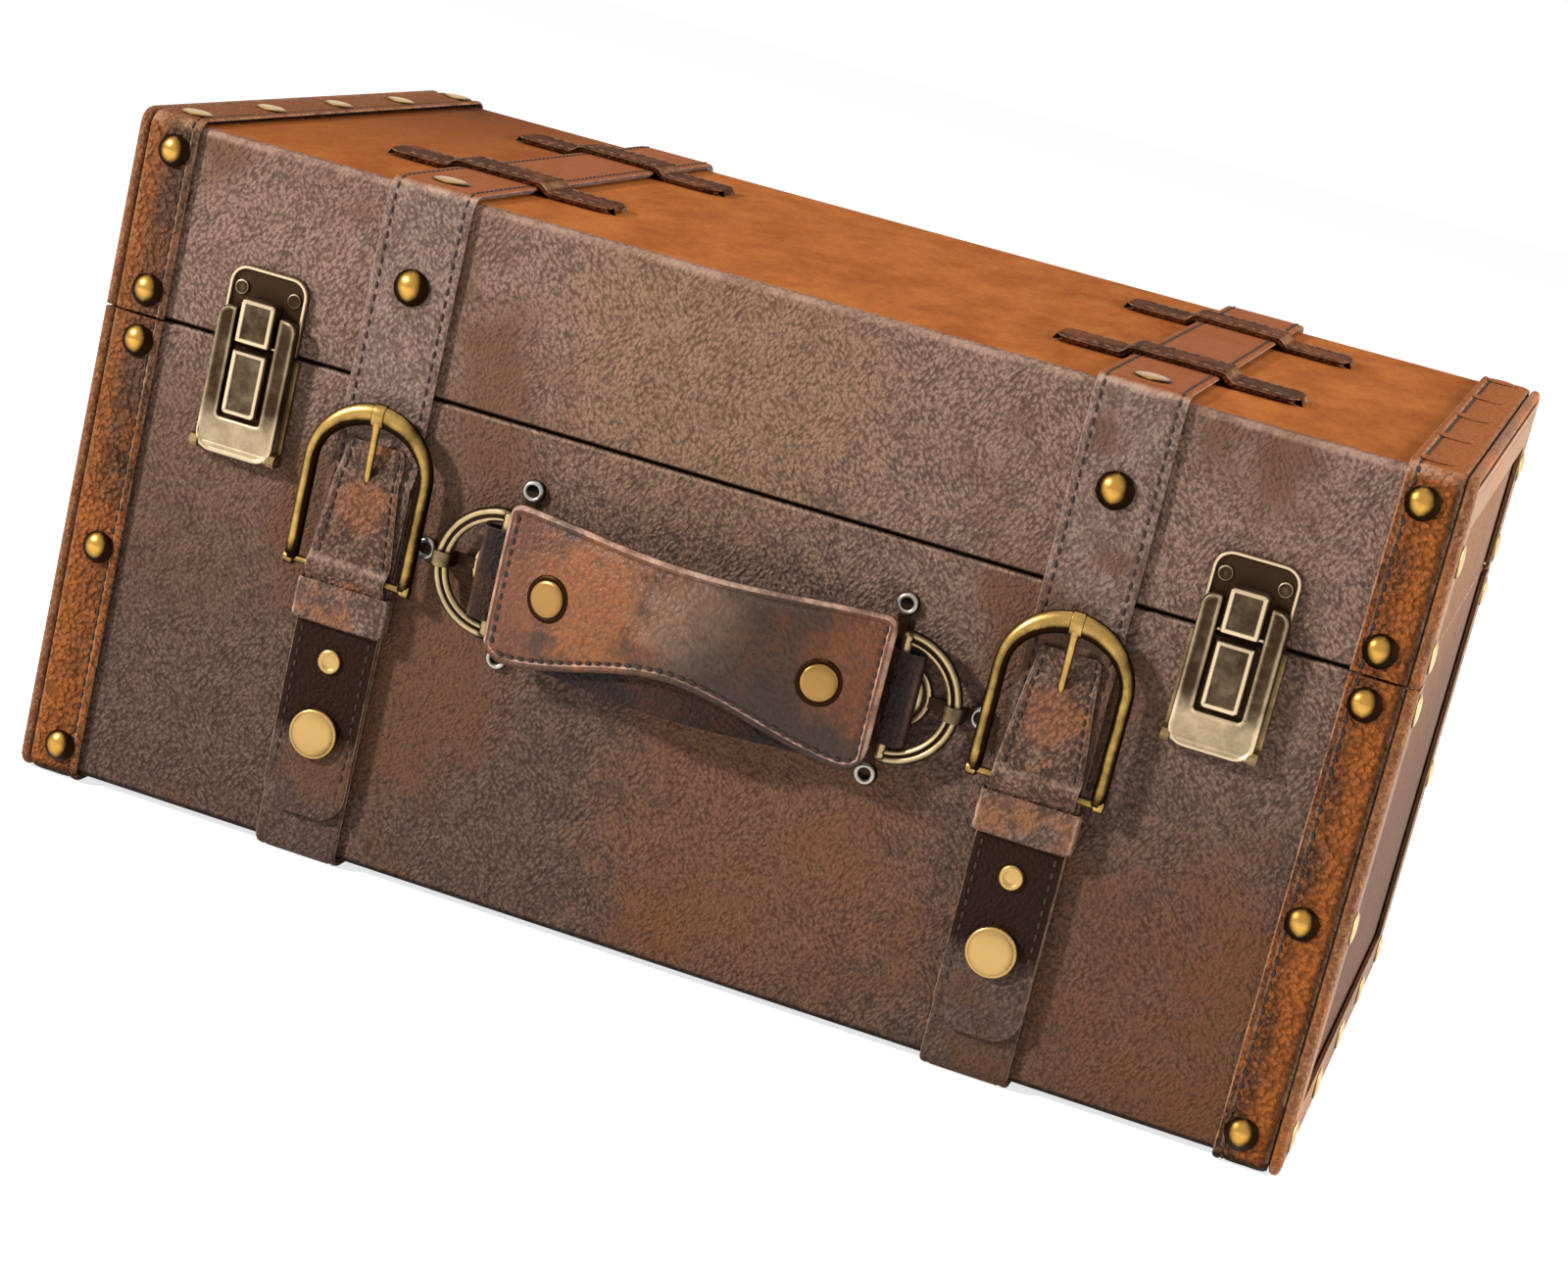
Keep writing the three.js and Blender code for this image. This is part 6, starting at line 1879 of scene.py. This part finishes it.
def plywood(name, pale, dark, along):
    """Sanded plywood with its grain along one axis."""
    material, tree = new_material(name)
    place = add_node(tree, "TexCoord")
    drawn = add_node(tree, "Mapping", {"Vector": place.outputs["Object"], "Scale": along})
    rings = add_node(tree, "TexNoise", {"Vector": drawn, "Scale": wood_ring_scale, "Detail": 5,
                                        "Roughness": 0.6, "Distortion": 0.6})
    figure = add_node(tree, "MapRange", {"Value": rings, "From Min": 0.35, "From Max": 0.65})
    tone = add_node(tree, "MixRGB", {"Fac": figure, "Color1": srgb(pale), "Color2": srgb(dark)})
    bump = add_node(tree, "Bump", {"Height": rings, "Distance": wood_ring_depth, "Strength": 0.5})
    wood = add_node(tree, "BsdfPrincipled", {"Base Color": tone, "Roughness": 0.65, "Normal": bump})
    add_node(tree, "OutputMaterial", {"Surface": wood})
    return material


def felt(name, deep, pale):
    """Pressed wool felt: short tangled fibres with a little sheen."""
    material, tree = new_material(name)
    place = add_node(tree, "TexCoord")
    fibres = add_node(tree, "TexNoise", {"Vector": place.outputs["Object"],
                                         "Scale": felt_fibre_scale, "Detail": 4,
                                         "Distortion": 1.5})
    cloud = add_node(tree, "TexNoise", {"Vector": place.outputs["Object"],
                                        "Scale": felt_cloud_scale, "Detail": 3})
    both = add_node(tree, "Math", {0: cloud, 1: 0.5, 2: fibres}, operation="MULTIPLY_ADD")
    shade = add_node(tree, "MapRange", {"Value": both, "From Min": 0.5, "From Max": 1})
    tone = add_node(tree, "MixRGB", {"Fac": shade, "Color1": srgb(deep), "Color2": srgb(pale)})
    bump = add_node(tree, "Bump", {"Height": fibres, "Distance": felt_depth, "Strength": 0.6})
    wool = add_node(tree, "BsdfPrincipled", {"Base Color": tone, "Roughness": 0.9, "Normal": bump,
                                             "Sheen Weight": 0.3, "Sheen Roughness": 0.5,
                                             "Specular IOR Level": 0.1})
    add_node(tree, "OutputMaterial", {"Surface": wool})
    return material


def make_discs(steel_grey):
    """The steel discs under the snap caps, flush in the base straps."""
    for word, side in sides_of_case:
        place = Vector((side * strap_x, front_y - strap_out, cap_z))
        disc = turned(disc_profile, disc_radius, disc_height, place, forward, cap_steps)
        make_piece(f"disc_{word}", disc, "base", "steel", steel_grey, [f"snap_disc_{word}"])


def finish_inside(wood_long, wood_short, lining, bronze, steel_grey):
    kinds = {"front_wall": wood_long, "back_wall": wood_long, "base_floor": wood_long,
             "lid_panel": wood_long, "left_wall": wood_short, "right_wall": wood_short,
             "lining": lining, "latch_base": bronze, "latch_pin": steel_grey,
             "hinge_lid_leaf": bronze, "hinge_base_leaf": bronze, "hinge_pin": steel_grey}
    for node, solid in nodes.items():
        for word, material in kinds.items():
            if word in node:
                for place in solid.material_slots:
                    place.material = material


wall_wood = plywood("Plywood, long grain", "#c9a472", "#a67c4c", (along_share, 1, 1))
end_wood = plywood("Plywood, end walls", "#c9a472", "#a67c4c", (1, along_share, 1))
lining_felt = felt("Felt lining", "#3a2420", "#6a463b")
hinge_bronze = metal("Hinge bronze", bright="#a98a5e", dark="#2a1c12", rub_low=-0.3, rub_high=0.3)
pin_steel = metal("Pin steel", bright="#b9b4ad", dark="#4b4743", rub_low=-0.5, rub_high=0.1)
disc_steel = metal("Disc steel", bright="#b9b4ad", dark="#4b4743")
make_discs(disc_steel)
finish_inside(wall_wood, end_wood, lining_felt, hinge_bronze, pin_steel)
